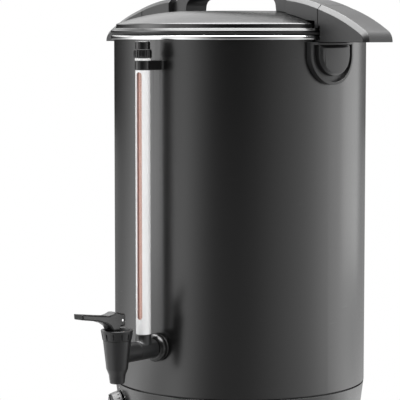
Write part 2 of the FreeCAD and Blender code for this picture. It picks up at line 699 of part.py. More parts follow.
soften(handle, hole, "hole_rounding", chosen_edges(hole, is_hole_corner), "hole_round")
turn_cut(handle, "lid_seat", [
    ("0", "rim_level - 1"),
    ("body_radius + hood_reach", "rim_level - 1"),
    ("body_radius + hood_reach", "rim_level + lid_flange_level + seat_gap / 2"),
    ("shoulder + relief_reach", "rim_level + lid_flange_level + seat_gap / 2"),
    ("shoulder + relief_reach", "rim_level + shoulder_level + relief_reach"),
    ("shoulder - 8", "rim_level + shoulder_level + relief_reach + 1"),
    ("shoulder - 8", "rim_level + dome_level - dome_curve + seat_gap / 2"
                     " + sqrt(dome_curve^2 - (shoulder - 8 - dome_flat)^2)", "left", "dome_curve"),
    ("dome_flat", "rim_level + dome_level + seat_gap / 2"),
    ("0", "rim_level + dome_level + seat_gap / 2"),
])
turn_cut(handle, "split_face", box_corners(
    "split - split_gap / 2", "brow + 5", "rim_level", "rim_level + grip_level"))
screw_height = "dome_level - dome_curve + sqrt(dome_curve^2 - (lid_screw_circle - dome_flat)^2)"
cut_block(handle, "lid_screw_pilots", "XY_Plane", length=f"rim_level + {screw_height} + lid_screw_depth + 1",
          forward=True, circles=[(x, y, "2 + thread_fit") for x, y in LID_SCREWS])

make_group("lid_handle_screws", screw_shape(3.8, 2.4, 2, size("lid_screw_depth + lid_wall + 1.3")), [
    Placement(Vector(size(x), size(y), size(f"rim_level + {screw_height} - lid_wall - 1.3")), Rotation())
    for x, y in LID_HOLES])

# Side handles

U_PLATE = [
    ("-wall_plate_half", "rim_level - nose_drop"),
    ("-wall_plate_half", "rim_level - wall_plate_straight", "left"),
    ("wall_plate_half", "rim_level - wall_plate_straight"),
    ("wall_plate_half", "rim_level - nose_drop"),
]


def inset_plate(half, top):
    """The plate's outline again, for what lies inside its rim."""
    return [
        (f"-({half})", top),
        (f"-({half})", "rim_level - wall_plate_straight", "left"),
        (half, "rim_level - wall_plate_straight"),
        (half, top),
    ]


def tube_shape(inner, outer, bottom, top):
    solid = Part.makeCylinder(outer, top - bottom, Vector(0, 0, bottom))
    return solid.cut(Part.makeCylinder(inner, top - bottom, Vector(0, 0, bottom)))


def make_side_handle(side, turn):
    """One side handle on +X, turned about the axis to its own side."""
    body = new_body(f"side_handle_{side}_moulding")
    add_block(body, f"wall_plate_{side}", "YZ_Plane", [U_PLATE], "wall_plate_depth + 23",
              offset="body_radius - 20")
    turn_cut(body, f"plate_face_{side}", box_corners(
        "plate_face", "plate_face + 10", "rim_level - 80", "rim_level"))
    hood = add_block(body, f"hood_{side}", "XZ_Plane", [[
        ("lug_end", "rim_level - nose_drop"),
        ("nose", "rim_level - nose_drop", "left", "nose_curve"),
        ("hood", "rim_level + hood_level", "left", "brow_curve"),
        ("brow", "rim_level + brow_level", "left", "lug_curve"),
        ("lug_end", "rim_level + lug_level"),
    ]], "handle_width", both=True)
    soften(body, hood, f"hood_chamfer_{side}",
           chosen_edges(hood, lambda edge: lies_on_side(edge, size("handle_width / 2"))),
           "handle_chamfer", "Chamfer")
    turn_cut(body, f"body_clearance_{side}", [
        ("0", "rim_level - 80"),
        ("body_radius + seat_gap", "rim_level - 80"),
        ("body_radius + seat_gap", "rim_level - seat_gap"),
        ("split + 3", "rim_level - seat_gap"),
        ("split + 3", "rim_level + lid_flange_level + 2"),
        ("split + split_gap / 2", "rim_level + lid_flange_level + 2"),
        ("split + split_gap / 2", "rim_level + grip_level"),
        ("0", "rim_level + grip_level"),
    ])
    cut_block(body, f"finger_recess_{side}", "XZ_Plane", [[
        ("body_radius + finger_start", "rim_level - nose_drop - 1"),
        ("nose - hood_wall", "rim_level - nose_drop - 1"),
        ("nose - hood_wall - 1", "rim_level + hood_level / 8"),
        ("hood - hood_wall", "rim_level + hood_level - hood_wall"),
        ("brow", "rim_level + brow_level - hood_wall - 1"),
        ("body_radius + finger_start", "rim_level + brow_level - hood_wall"),
    ]], "handle_width - 2 * hood_wall", both=True)
    cut_block(body, f"plate_screw_holes_{side}", "YZ_Plane", forward=True, circles=[
        ("0", "rim_level - upper_screw_drop", "2.6"), ("0", "rim_level - lower_screw_drop", "2.6")])
    outline = new_body(f"recess_{side}")
    add_block(outline, f"recess_block_{side}", "YZ_Plane",
              [inset_plate("wall_plate_half - wall_plate_rim", "rim_level - nose_drop - wall_plate_head")],
              "body_radius + 40")
    tube = doc.addObject("Part::Feature", f"recess_tube_{side}")
    tube.Shape = tube_shape(size("plate_floor"), size("nose"), size("rim_level - 80"), size("rim_level"))
    recess = doc.addObject("Part::Common", f"recess_tool_{side}")
    recess.Base = outline
    recess.Tool = tube
    finished = doc.addObject("Part::Cut", f"side_handle_{side}")
    finished.Label = f"side_handle_{side}"
    finished.Base = body
    finished.Tool = recess
    finished.Placement = turn
    doc.recompute()
    return finished


def make_cover(side, turn):
    """The cover that hides the screws of one side handle."""
    body = new_body(f"handle_cover_{side}", turn)
    add_block(body, f"cover_block_{side}", "YZ_Plane",
              [inset_plate("cover_half", "rim_level - cover_drop")], "plate_floor + cover_rise + 20")
    cut = turn_cut(body, f"cover_face_{side}", box_corners(
        "plate_floor + cover_rise", "nose + 10", "rim_level - 80", "rim_level"))
    face_radius = size("plate_floor + cover_rise")

    def on_face(edge):
        ends = [math.hypot(vertex.X, vertex.Y) for vertex in edge.Vertexes]
        return len(ends) == 2 and all(abs(end - face_radius) < 0.01 for end in ends)

    soften(body, cut, f"cover_chamfer_{side}", chosen_edges(cut, on_face), "cover_chamfer", "Chamfer")
    turn_cut(body, f"cover_back_{side}", box_corners(
        "0", "plate_floor + seat_gap / 2", "rim_level - 80", "rim_level"))
    cut_block(body, f"cover_screw_room_{side}", "YZ_Plane", length="plate_floor + 4", forward=True,
              outlines=[box_corners("-6", "6", "rim_level - lower_screw_drop - 6",
                                    "rim_level - upper_screw_drop + 5")])
    return body


opposite = Placement(Vector(), Rotation(Vector(0, 0, 1), 180))
SIDES = [("right", handle_place), ("left", handle_place.multiply(opposite))]
for side, turn in SIDES:
    make_side_handle(side, turn)
    make_cover(side, turn)

handle_screw_places = []
backing_places = []
for side, turn in SIDES:
    for drop in ("upper_screw_drop", "lower_screw_drop"):
        place = towards(size("plate_floor"), 0, size(f"rim_level - {drop}"), Vector(-1, 0, 0))
        handle_screw_places.append(turn.multiply(place))
    backing_places.append(turn)
screw_reach = size("plate_floor - body_radius + shell_wall + backing_wall + 1.5")
make_group("side_handle_screws", screw_shape(4.2, 2.6, 2.45, screw_reach), handle_screw_places)

backing_face = size("body_radius - shell_wall - seat_gap / 2") ** 2 - size("backing_half") ** 2
backing_face = math.sqrt(backing_face)
backing = Part.makeBox(
    size("backing_wall"), size("2 * backing_half"), size("lower_screw_drop - upper_screw_drop + 2 * backing_end"),
    Vector(backing_face - size("backing_wall"), -size("backing_half"),
           size("rim_level - lower_screw_drop - backing_end")))
for drop in ("upper_screw_drop", "lower_screw_drop"):
    hole_back = Vector(backing_face - size("2 * backing_wall"), 0, size(f"rim_level - {drop}"))
    hole = Part.makeCylinder(2.5, size("3 * backing_wall"), hole_back, Vector(1, 0, 0))
    backing = backing.cut(hole)
make_group("handle_backing_plates", backing, backing_places)

# Sight gauge

gauge_place = Placement(Vector(0, -size("gauge_axis"), 0), Rotation())
shield_place = Placement(Vector(0, -size("gauge_axis"), 0), Rotation(Vector(0, 0, 1), size("shield_turn")))

shield = new_body("gauge_shield", shield_place)
turn_solid(shield, "shield_tube", box_corners(
    "shield_radius - shield_wall", "shield_radius", "tap_level + socket_rise", "rim_level - clamp_bottom"))
cut_block(shield, "shield_slot", "XZ_Plane", [[
    ("-slot_width / 2", "slot_level + slot_width / 2", "left"),
    ("slot_width / 2", "slot_level + slot_width / 2"),
    ("slot_width / 2", "rim_level - slot_top - slot_width / 2", "left"),
    ("-slot_width / 2", "rim_level - slot_top - slot_width / 2"),
]], forward=True)

glass = new_body("gauge_glass", gauge_place)
turn_solid(glass, "glass_tube", box_corners(
    "glass_radius - glass_wall", "glass_radius", "tap_level + socket_step - 1", "rim_level - cap_top - cap_roof - 1"))

strip = new_body("gauge_strip", shield_place)
strip_ring = turn_solid(strip, "strip_ring", box_corners(
    "glass_radius + glass_fit", "shield_radius - shield_wall - glass_fit",
    "slot_level - 5", "rim_level - slot_top + 1"))
cut_block(strip, "strip_front", "XZ_Plane", forward=True, outlines=[box_corners(
    "-shield_radius", "shield_radius", "slot_level - 10", "rim_level")])

clamp = new_body("gauge_clamp")
clamp_height = "clamp_bottom - clamp_top"
saddle_out = "body_radius + saddle_depth"
add_block(clamp, "clamp_ring", "XY_Plane", [], clamp_height, offset="rim_level - clamp_bottom",
          circles=[("0", "-gauge_axis", "clamp_radius")])
add_block(clamp, "clamp_arm", "XY_Plane", [[
    ("-saddle_half", "-body_radius - 1"),
    ("-clamp_radius + 0.5", f"-({saddle_out})"),
    ("-clamp_radius + 0.5", "-gauge_axis"),
    ("clamp_radius - 0.5", "-gauge_axis"),
    ("clamp_radius - 0.5", f"-({saddle_out})"),
    ("saddle_half", "-body_radius - 1"),
    ("saddle_half", "-body_radius + 6"),
    ("-saddle_half", "-body_radius + 6"),
]], clamp_height, offset="rim_level - clamp_bottom")
turn_cut(clamp, "clamp_shell_seat", box_corners("0", "body_radius + seat_gap / 2", "rim_level - 40", "rim_level"))
cut_block(clamp, "clamp_bore", "XY_Plane", forward=True,
          circles=[("0", "-gauge_axis", "glass_radius + glass_fit")])
clamp_level = "rim_level - (clamp_top + clamp_bottom) / 2"
cut_block(clamp, "clamp_screw_holes", "XZ_Plane", length="clamp_screw_length + 3", offset="body_radius - 2",
          forward=True, circles=[(side + "saddle_screw", clamp_level, "1.6") for side in ("", "-")])
screw_seat = size("sqrt((body_radius - shell_wall)^2 - (saddle_screw + 2.9)^2) - seat_gap / 3")
make_group("clamp_screws", screw_shape(2.9, 1.8, 1.5, size("body_radius + clamp_screw_length") - screw_seat), [
    towards(side * size("saddle_screw"), -screw_seat, size(clamp_level), Vector(0, -1, 0)) for side in (1, -1)])

ring = new_body("gauge_ring", gauge_place)
turn_solid(ring, "ring_washer", box_corners(
    "glass_radius + glass_fit", "clamp_radius", "rim_level - clamp_top", "rim_level - nut_bottom"))

nut = new_body("gauge_nut", gauge_place)
nut_blank = turn_solid(nut, "nut_blank", box_corners(
    "glass_radius + glass_fit", "nut_radius", "rim_level - nut_bottom", "rim_level - nut_top"))
round_rings(nut, nut_blank, "nut_edges", [
    ("nut_radius", "rim_level - nut_bottom"), ("nut_radius", "rim_level - nut_top")], "0.8")


def notch_ring(body, name, count, circle, radius, bottom, top):
    """Cut upright round grooves, evenly spaced round a body."""
    notch = cut_block(body, name, "XY_Plane", length=f"({top}) - ({bottom})", offset=bottom, forward=True,
                      circles=[(circle, "0", radius)])
    pattern = body.newObject("PartDesign::PolarPattern", name + "_pattern")
    pattern.Originals = [notch]
    pattern.Axis = (notch.Profile[0], ["N_Axis"])
    pattern.Angle = 360
    pattern.Occurrences = count
    body.Tip = pattern
    doc.recompute()
    return pattern


notch_ring(nut, "nut_knurl", 20, "nut_radius + 0.25", "0.75",
           "rim_level - nut_bottom - 1", "rim_level - nut_top - 1.2")

cap = new_body("gauge_cap", gauge_place)
cap_blank = turn_solid(cap, "cap_turned", [
    ("1", "rim_level - cap_top - cap_roof"),
    ("glass_radius + glass_fit", "rim_level - cap_top - cap_roof"),
    ("glass_radius + glass_fit", "rim_level - nut_top"),
    ("cap_radius", "rim_level - nut_top"),
    ("cap_radius", "rim_level - cap_top"),
    ("1", "rim_level - cap_top"),
])
round_rings(cap, cap_blank, "cap_edge", [("cap_radius", "rim_level - cap_top")], "0.8")

seal = new_body("gauge_seal", gauge_place)
turn_solid(seal, "seal_ring", box_corners(
    "glass_radius + thread_fit", "socket_radius - 1.2", "tap_level + socket_step", "tap_level + socket_rise - 3"))

# Tee, wall fittings and tap

tee = new_body("gauge_tee")
add_block(tee, "tee_pipe", "XZ_Plane", [], "body_radius + tee_end - (tank_inside - shank_end)",
          offset="tank_inside - shank_end", circles=[("0", "tap_level", "pipe_radius")])
add_block(tee, "tee_socket", "XY_Plane", [], "socket_rise", offset="tap_level",
          circles=[("0", "-gauge_axis", "socket_radius")])
cut_block(tee, "tee_bore", "XZ_Plane", forward=True, circles=[("0", "tap_level", "pipe_bore")])
cut_block(tee, "tee_gauge_bore", "XY_Plane", offset="tap_level", forward=True,
          circles=[("0", "-gauge_axis", "glass_radius + glass_fit")])
cut_block(tee, "tee_seal_seat", "XY_Plane", offset="tap_level + socket_step", forward=True,
          circles=[("0", "-gauge_axis", "socket_radius - 1.1")])
cut_block(tee, "tee_spigot_seat", "XZ_Plane", offset="body_radius + tee_end - spigot_length - 0.3",
          forward=True, circles=[("0", "tap_level", "spigot_radius + thread_fit")])


def wall_ring(label, inner, outer, radius, hole="pipe_radius + thread_fit", flats=None):
    """A washer, nut or spacer on the shank, from one distance off the urn's axis to another."""
    body = new_body(label)
    outlines = [] if flats is None else [hexagon_corners(flats, "0", "tap_level")]
    circles = [("0", "tap_level", radius)] if flats is None else []
    add_block(body, label + "_disc", "XZ_Plane", outlines, f"({outer}) - ({inner})", offset=inner,
              circles=circles)
    cut_block(body, label + "_hole", "XZ_Plane", forward=True, circles=[("0", "tap_level", hole)])
    return body


outer_washer = wall_ring("outer_washer", "body_radius - 3", "body_radius + washer_wall", "washer_radius")
turn_cut(outer_washer, "washer_shell_seat", box_corners(
    "0", "body_radius + seat_gap / 3", "tap_level - 30", "tap_level + 30"))
flange_nut = wall_ring("flange_nut", "body_radius + washer_wall", "body_radius + washer_wall + flange_nut_height",
                       "flange_nut_radius")


def outer_face_edges(feature, radius, distance):
    """The round edge of a washer or nut at a radius from the shank and a distance from the urn."""
    def wanted(edge):
        curve = edge.Curve
        round_edge = isinstance(curve, Part.Circle) and abs(curve.Radius - size(radius)) < 0.01
        return round_edge and abs(curve.Center.y + size(distance)) < 0.01
    return chosen_edges(feature, wanted)


soften(flange_nut, flange_nut.Tip, "flange_nut_edge", outer_face_edges(
    flange_nut.Tip, "flange_nut_radius", "body_radius + washer_wall + flange_nut_height"), "4.6")
shell_inner = "sqrt((body_radius - shell_wall)^2 - spacer_radius^2)"
wall_ring("wall_spacer", "tank_radius + seat_gap / 3", f"{shell_inner} - seat_gap / 3", "spacer_radius")
tank_flat = "sqrt(tank_inside^2 - washer_radius^2)"
wall_ring("inner_washer", f"{tank_flat} - seat_gap / 3 - washer_wall", f"{tank_flat} - seat_gap / 3",
          "washer_radius")
wall_ring("lock_nut", f"{tank_flat} - seat_gap / 3 - washer_wall - lock_nut_height",
          f"{tank_flat} - seat_gap / 3 - washer_wall", "0", flats="lock_nut_flats")

tap_place = Placement(Vector(0, -size("cup_axis"), size("tap_level")), Rotation())

tap = new_body("tap_body", tap_place)
turn_solid(tap, "cup_outside", [
    ("0", "-spout_drop"),
    ("spout_radius", "-spout_drop"),
    ("step_radius", "-step_drop"),
    ("cup_waist", "-waist_drop"),
    ("cup_radius", "cup_top"),
    ("neck_radius", "cup_top"),
    ("neck_radius", "neck_top"),
    ("0", "neck_top"),
])
stub_length = "cup_axis - body_radius - tee_end"
add_block(tap, "tap_stub", "XZ_Plane", [], stub_length, circles=[("0", "0", "pipe_radius")], reverse=True)
add_block(tap, "tap_spigot", "XZ_Plane", [], f"{stub_length} + spigot_length",
          circles=[("0", "0", "spigot_radius")], reverse=True)
turn_cut(tap, "cup_hollow", [
    ("0", "-spout_drop"),
    ("spout_bore", "-spout_drop"),
    ("spout_bore", "-seat_drop"),
    ("seat_radius", "-seat_drop"),
    ("hollow_radius", "neck_top"),
    ("0", "neck_top"),
])
cut_block(tap, "tap_inlet_bore", "XZ_Plane", circles=[("0", "0", "pipe_bore")])
round_rings(tap, tap.Tip, "spout_edge", [("spout_radius", "-spout_drop")], "1.2")

collar = new_body("tap_collar", tap_place)
collar_blank = turn_solid(collar, "collar_turned", [
    ("neck_radius + thread_fit", "cup_top + 0.2"),
    ("collar_foot", "cup_top + 0.2"),
    ("collar_brim", "collar_top"),
    ("collar_recess", "collar_top"),
    ("collar_recess - 0.8", "recess_floor"),
    ("stem_radius + stem_fit", "recess_floor"),
    ("stem_radius + stem_fit", "neck_top + 0.1"),
    ("neck_radius + thread_fit", "neck_top + 0.1"),
])
round_rings(collar, collar_blank, "collar_brim_edge", [("collar_brim", "collar_top")], "0.7")
slot_cut = cut_block(collar, "collar_slots", "XY_Plane", length="collar_top - cup_top - 4.4",
                     offset="cup_top + 1", forward=True, outlines=[box_corners(
                         "collar_foot - 0.6", "collar_brim + 2", "-collar_slot / 2", "collar_slot / 2")])
slots = collar.newObject("PartDesign::PolarPattern", "collar_slot_pattern")
slots.Originals = [slot_cut]
slots.Axis = (slot_cut.Profile[0], ["N_Axis"])
slots.Angle = 360
slots.Occurrences = 12
collar.Tip = slots
doc.recompute()

stem = new_body("tap_stem", tap_place)
turn_solid(stem, "stem_rod", box_corners("0", "stem_radius", "-stem_foot", "pivot_rise - 2.6"))
add_block(stem, "stem_eye", "YZ_Plane", [], "eye_width", both=True,
          circles=[("pivot_setback", "pivot_rise", "eye_radius")])
cut_block(stem, "stem_pin_hole", "YZ_Plane", both=True,
          circles=[("pivot_setback", "pivot_rise", "pin_radius + thread_fit / 2")])

seat_cup = new_body("seat_cup", tap_place)
cup_blank = turn_solid(seat_cup, "seat_cup_turned", [
    ("0", "-seat_drop + seat_gap / 2"),
    ("seat_cup_radius", "-seat_drop + seat_gap / 2"),
    ("seat_cup_radius", "-seat_drop + seat_cup_height"),
    ("stem_radius", "-seat_drop + seat_cup_height"),
    ("stem_radius", "-stem_foot"),
    ("0", "-stem_foot"),
])
round_rings(seat_cup, cup_blank, "seat_cup_edge", [("seat_cup_radius", "-seat_drop + seat_gap / 2")], "1.5")

def coil_path(radius, pitch, turns):
    """A rising coil made of arcs that run smoothly into each other, eight to a turn."""
    def point(angle):
        return Vector(radius * math.cos(angle), radius * math.sin(angle), pitch * angle / (2 * math.pi))

    def direction(angle):
        return Vector(-radius * math.sin(angle), radius * math.cos(angle), pitch / (2 * math.pi)).normalize()

    def arc_from(start, heading, end):
        chord = end - start
        inward = heading.cross(chord).normalize().cross(heading)
        bend = chord.dot(chord) / (2 * chord.dot(inward))
        centre = start + inward * bend
        middle = centre + ((start + end) * 0.5 - centre).normalize() * bend
        return Part.Arc(start, middle, end).toShape()

    arcs = []
    for quarter in range(int(turns * 4)):
        angles = (math.pi / 2 * quarter, math.pi / 2 * (quarter + 1))
        start, end = [point(angle) for angle in angles]
        leaving, arriving = [direction(angle) for angle in angles]
        chord = end - start
        both = leaving + arriving
        square = both.dot(both) - 4
        slope = -2 * chord.dot(both)
        reach = (-slope - math.sqrt(slope ** 2 - 4 * square * chord.dot(chord))) / (2 * square)
        near = start + leaving * reach
        far = end - arriving * reach
        joint = (near + far) * 0.5
        arcs.append(arc_from(start, leaving, joint))
        arcs.append(arc_from(joint, (far - near).normalize(), end))
    return Part.Wire(arcs)


spring_foot = size("-seat_drop + seat_cup_height + wire_radius + seat_gap / 3")
spring_head = size("neck_top + 0.1 - wire_radius - seat_gap / 3")
pitch = (spring_head - spring_foot) / size("spring_turns")
spring_start = Vector(size("spring_radius"), 0, 0)
spring_heading = Vector(0, size("spring_radius"), pitch / (2 * math.pi)).normalize()
wire_circle = Part.Wire(Part.makeCircle(size("wire_radius"), spring_start, spring_heading))
spring = doc.addObject("Part::Feature", "tap_spring")
spring.Label = "tap_spring"
spring.Shape = coil_path(size("spring_radius"), pitch, size("spring_turns")).makePipeShell([wire_circle], True)
spring.Placement = tap_place.multiply(Placement(Vector(0, 0, spring_foot), Rotation()))

lever = new_body("tap_lever", tap_place)
lever_back = "pivot_setback + hub_reach"
blade = add_block(lever, "lever_blade", "YZ_Plane", [[
    ("-lever_length", "pivot_rise + lever_rise"),
    ("-lever_length + 0.6", "pivot_rise + lever_rise - lever_tip"),
    ("-lever_length * 0.58", "pivot_rise + 2.6"),
    ("-lever_length * 0.38", "pivot_rise - 0.9"),
    ("-15.5", "pivot_rise - 4.4"),
    ("-11", "recess_floor + 2.3"),
    ("-10.8", "recess_floor + 0.8"),
    ("-3.5", "recess_floor + 0.8"),
    ("-2", "pivot_rise - 6.2"),
    (f"{lever_back} - 1", "pivot_rise - 6.2"),
    (lever_back, "pivot_rise - 5"),
    (lever_back, "pivot_rise + 5.2"),
    (f"{lever_back} - 1.5", "pivot_rise + 6.6"),
    ("-0.5", "pivot_rise + lever_hump - 1.9"),
    ("-3.5", "pivot_rise + lever_hump - 0.3"),
    ("-7", "pivot_rise + lever_hump"),
    ("-12", "pivot_rise + lever_hump - 1.5"),
    ("-18", "pivot_rise + 6.4"),
    ("-lever_length * 0.53", "pivot_rise + 8"),
]], "lever_width", both=True)


def long_lever_edge(edge):
    """An edge along one of the lever's flanks, clear of its foot."""
    box = edge.BoundBox
    on_flank = box.XLength < 0.001 and abs(abs(box.XMin) - size("lever_width / 2")) < 0.01
    return on_flank and box.ZMin > size("recess_floor + 1.2")


soften(lever, blade, "lever_edges", chosen_edges(blade, long_lever_edge), "1", "Chamfer")
cut_block(lever, "lever_eye_slot", "YZ_Plane", length="lever_slot", both=True, outlines=[box_corners(
    "-9.6", f"{lever_back} + 1", "recess_floor", "pivot_rise + eye_radius + 0.7")])
cut_block(lever, "lever_pin_hole", "YZ_Plane", both=True,
          circles=[("pivot_setback", "pivot_rise", "pin_radius + pin_fit")])

pin = new_body("lever_pin", tap_place)
add_block(pin, "pin_rod", "YZ_Plane", [], "lever_width - 0.6", both=True,
          circles=[("pivot_setback", "pivot_rise", "pin_radius")])

# Base skirt, base plate and feet

skirt = new_body("base_skirt")
turn_solid(skirt, "skirt_wall_cone", [
    ("skirt_foot", "foot_height"),
    ("body_radius - skirt_step", "skirt_top"),
    ("collar_radius - groove_depth", "skirt_top"),
    ("collar_radius - groove_depth", "seam_level + seat_gap"),
    ("collar_radius", "seam_level + seat_gap"),
    ("collar_radius", "seam_level + collar_height"),
    ("collar_radius - skirt_wall", "seam_level + collar_height"),
    ("collar_radius - skirt_wall", "seam_level + seat_gap + skirt_wall"),
    ("collar_radius - skirt_wall - groove_depth", "seam_level + seat_gap + skirt_wall"),
    ("collar_radius - skirt_wall - groove_depth", "skirt_top - skirt_wall"),
    ("collar_radius - skirt_wall", "skirt_top - skirt_wall * 1.5"),
    ("skirt_inside", "foot_height + plate_wall + skirt_wall"),
    ("skirt_inside - lip_width", "foot_height + plate_wall + skirt_wall"),
    ("skirt_inside - lip_width", "foot_height + plate_wall"),
    ("skirt_inside", "foot_height + plate_wall"),
    ("skirt_inside", "foot_height"),
])
panel_level = "seam_level - panel_drop"
cut_block(skirt, "knob_hole", "XZ_Plane", forward=True, turn=size("knob_angle"),
          circles=[("0", panel_level, "bush_radius + 0.4")])
cut_block(skirt, "switch_hole", "XZ_Plane", forward=True, turn=size("switch_angle"),
          outlines=[box_corners("-switch_length / 2 - 2", "switch_length / 2 + 2",
                                f"{panel_level} - switch_width / 2 - 2", f"{panel_level} + switch_width / 2 + 2")])
for name, sign in (("right", 1), ("left", -1)):
    cut_block(skirt, f"lamp_hole_{name}", "XZ_Plane", forward=True, turn=sign * size("lamp_angle"),
              circles=[("0", panel_level, "lamp_radius - 0.3")])
cut_block(skirt, "inlet_hole", "XZ_Plane", outlines=[box_corners(
    "-inlet_width / 2 - 3", "inlet_width / 2 + 3",
    "inlet_level - inlet_height / 2 - 3", "inlet_level + inlet_height / 2 + 3")])
cut_block(skirt, "inlet_screw_clearance", "XZ_Plane", circles=[
    ("0", f"inlet_level {side} (inlet_height / 2 + inlet_screw_reach)", "2.4") for side in ("+", "-")])

plate = new_body("base_plate")
turn_solid(plate, "plate_disc", box_corners(
    "stud_radius + 0.4", "skirt_inside - seat_gap", "foot_height", "foot_height + plate_wall"))
FEET = [(x + "foot_circle * sqrt(0.5)", y + "foot_circle * sqrt(0.5)") for x in ("", "-") for y in ("", "-")]
cut_block(plate, "foot_screw_holes", "XY_Plane", forward=True,
          circles=[(x, y, "foot_screw_radius + thread_fit") for x, y in FEET])
vent = cut_block(plate, "vent_slot", "XY_Plane", forward=True, outlines=[box_corners("64", "90", "-2", "2")])
vents = plate.newObject("PartDesign::PolarPattern", "vent_pattern")
vents.Originals = [vent]
vents.Axis = (vent.Profile[0], ["N_Axis"])
vents.Angle = 360
vents.Occurrences = 12
plate.Tip = vents
doc.recompute()

foot = Part.makeCone(size("foot_radius - 2"), size("foot_radius"), size("foot_height"))
foot = foot.cut(Part.makeCylinder(4.6, 5))
foot = foot.cut(Part.makeCylinder(size("foot_screw_radius + 0.1"), size("foot_height")))
foot_places = [Placement(Vector(size(x), size(y), 0), Rotation()) for x, y in FEET]
make_group("rubber_feet", foot, foot_places)
make_group("foot_screws", screw_shape(4, 2.5, size("foot_screw_radius"), size("foot_height + plate_wall - 1")), [
    Placement(Vector(size(x), size(y), 5), Rotation()) for x, y in FEET])

stud = new_body("centre_stud")
turn_solid(stud, "stud_rod", box_corners("0", "stud_radius", "2.4", "heater_foot"))
stud_nut = new_body("stud_nut")
add_block(stud_nut, "stud_nut_blank", "XY_Plane", [hexagon_corners("stud_nut_flats")], "stud_nut_height",
          offset="foot_height - stud_nut_height")
cut_block(stud_nut, "stud_nut_hole", "XY_Plane", forward=True, circles=[("0", "0", "stud_radius + thread_fit")])

# Heater

heater = new_body("heater_plate")
heater_blank = turn_solid(heater, "heater_disc", box_corners("0", "heater_radius", "heater_foot", "tank_floor"))
round_rings(heater, heater_blank, "heater_edge", [("heater_radius", "heater_foot")], "2")

element_level = size("heater_foot - element_radius")
loop = Part.makeTorus(size("element_circle"), size("element_radius"), Vector(0, 0, element_level),
                      Vector(0, 0, 1), 0, 360, 320)
loop.rotate(Vector(), Vector(0, 0, 1), 110)
leg_turns = (110, 70)
for angle in leg_turns:
    spot = Vector(size("element_circle"), 0, element_level - size("element_leg"))
    leg = Part.makeCylinder(size("element_radius"), size("element_leg + element_radius * 0.98"), spot)
    leg.rotate(Vector(), Vector(0, 0, 1), angle)
    loop = loop.fuse(leg)
element = doc.addObject("Part::Feature", "heating_element")
element.Label = "heating_element"
element.Shape = loop.removeSplitter()

cutout_spot = Vector(-size("cutout_place"), 0, size("heater_foot - cutout_height"))
cutout = doc.addObject("Part::Cylinder", "cutout_switch")
cutout.Label = "cutout_switch"
cutout.setExpression("Radius", formula("cutout_radius"))
cutout.setExpression("Height", formula("cutout_height"))
cutout.Placement = Placement(cutout_spot, Rotation())

strap = new_body("cutout_strap")
strap_half = "cutout_radius + 8"
add_block(strap, "strap_bar", "XY_Plane", [box_corners(
    "-cutout_place - 5", "-cutout_place + 5", f"-({strap_half})", strap_half)], "1.2",
    offset="heater_foot - cutout_height - 1.2")
cut_block(strap, "strap_holes", "XY_Plane", forward=True, circles=[
    ("-cutout_place", f"{side}({strap_half} - 4)", "2.1") for side in ("", "-")])
make_group("strap_screws", screw_shape(3.6, 2.2, 2, size("cutout_height + 1.2")), [
    Placement(Vector(-size("cutout_place"), side * size(f"{strap_half} - 4"),
                     size("heater_foot - cutout_height - 1.2")), Rotation()) for side in (1, -1)])

# Thermostat, knob, switch, lamps and inlet

knob_place = skirt_place(size("knob_angle"), size(panel_level))
thermostat = new_body("thermostat", knob_place)
add_block(thermostat, "thermostat_case", "XY_Plane", [box_corners(
    "-thermostat_half", "thermostat_half", "-thermostat_half", "thermostat_half")],
    "thermostat_height", offset="-thermostat_back")
add_block(thermostat, "thermostat_bush", "XY_Plane", [], "thermostat_back - thermostat_height + 4.5",
          offset="thermostat_height - thermostat_back",
          circles=[("0", "0", "bush_radius")])
cut_block(thermostat, "thermostat_bore", "XY_Plane", offset="-12", length="20", forward=True,
          circles=[("0", "0", "shaft_radius + thread_fit")])

bush_nut = new_body("thermostat_nut", knob_place)
add_block(bush_nut, "bush_nut_blank", "XY_Plane", [hexagon_corners("bush_nut_radius * sqrt(3)")], "2.6",
          offset="0.2")
cut_block(bush_nut, "bush_nut_hole", "XY_Plane", forward=True, circles=[("0", "0", "bush_radius + thread_fit")])

shaft = new_body("thermostat_shaft", knob_place)
turn_solid(shaft, "shaft_rod", box_corners("0", "shaft_radius", "-11.5", "knob_gap + knob_height - 3"))

knob = new_body("control_knob", knob_place)
knob_blank = turn_solid(knob, "knob_turned", [
    ("shaft_radius + thread_fit / 2", "5"),
    ("bush_nut_radius + 1.5", "5"),
    ("bush_nut_radius + 1.5", "knob_gap"),
    ("knob_radius", "knob_gap"),
    ("knob_radius", "knob_gap + 2"),
    ("knob_radius - 1.6", "knob_gap + knob_height - 2"),
    ("knob_radius - 3.4", "knob_gap + knob_height - 0.6"),
    ("0", "knob_gap + knob_height - 0.6"),
    ("0", "knob_gap + knob_height - 2.8"),
    ("shaft_radius + thread_fit / 2", "knob_gap + knob_height - 2.8"),
])
add_block(knob, "knob_pointer", "XY_Plane", [box_corners("-1.6", "1.6", "1", "knob_radius - 2.2")], "1.4",
          offset="knob_gap + knob_height - 1")
notch_ring(knob, "knob_grip", 18, "knob_radius + 0.6", "1.5", "knob_gap + 2.6", "knob_gap + knob_height + 1")

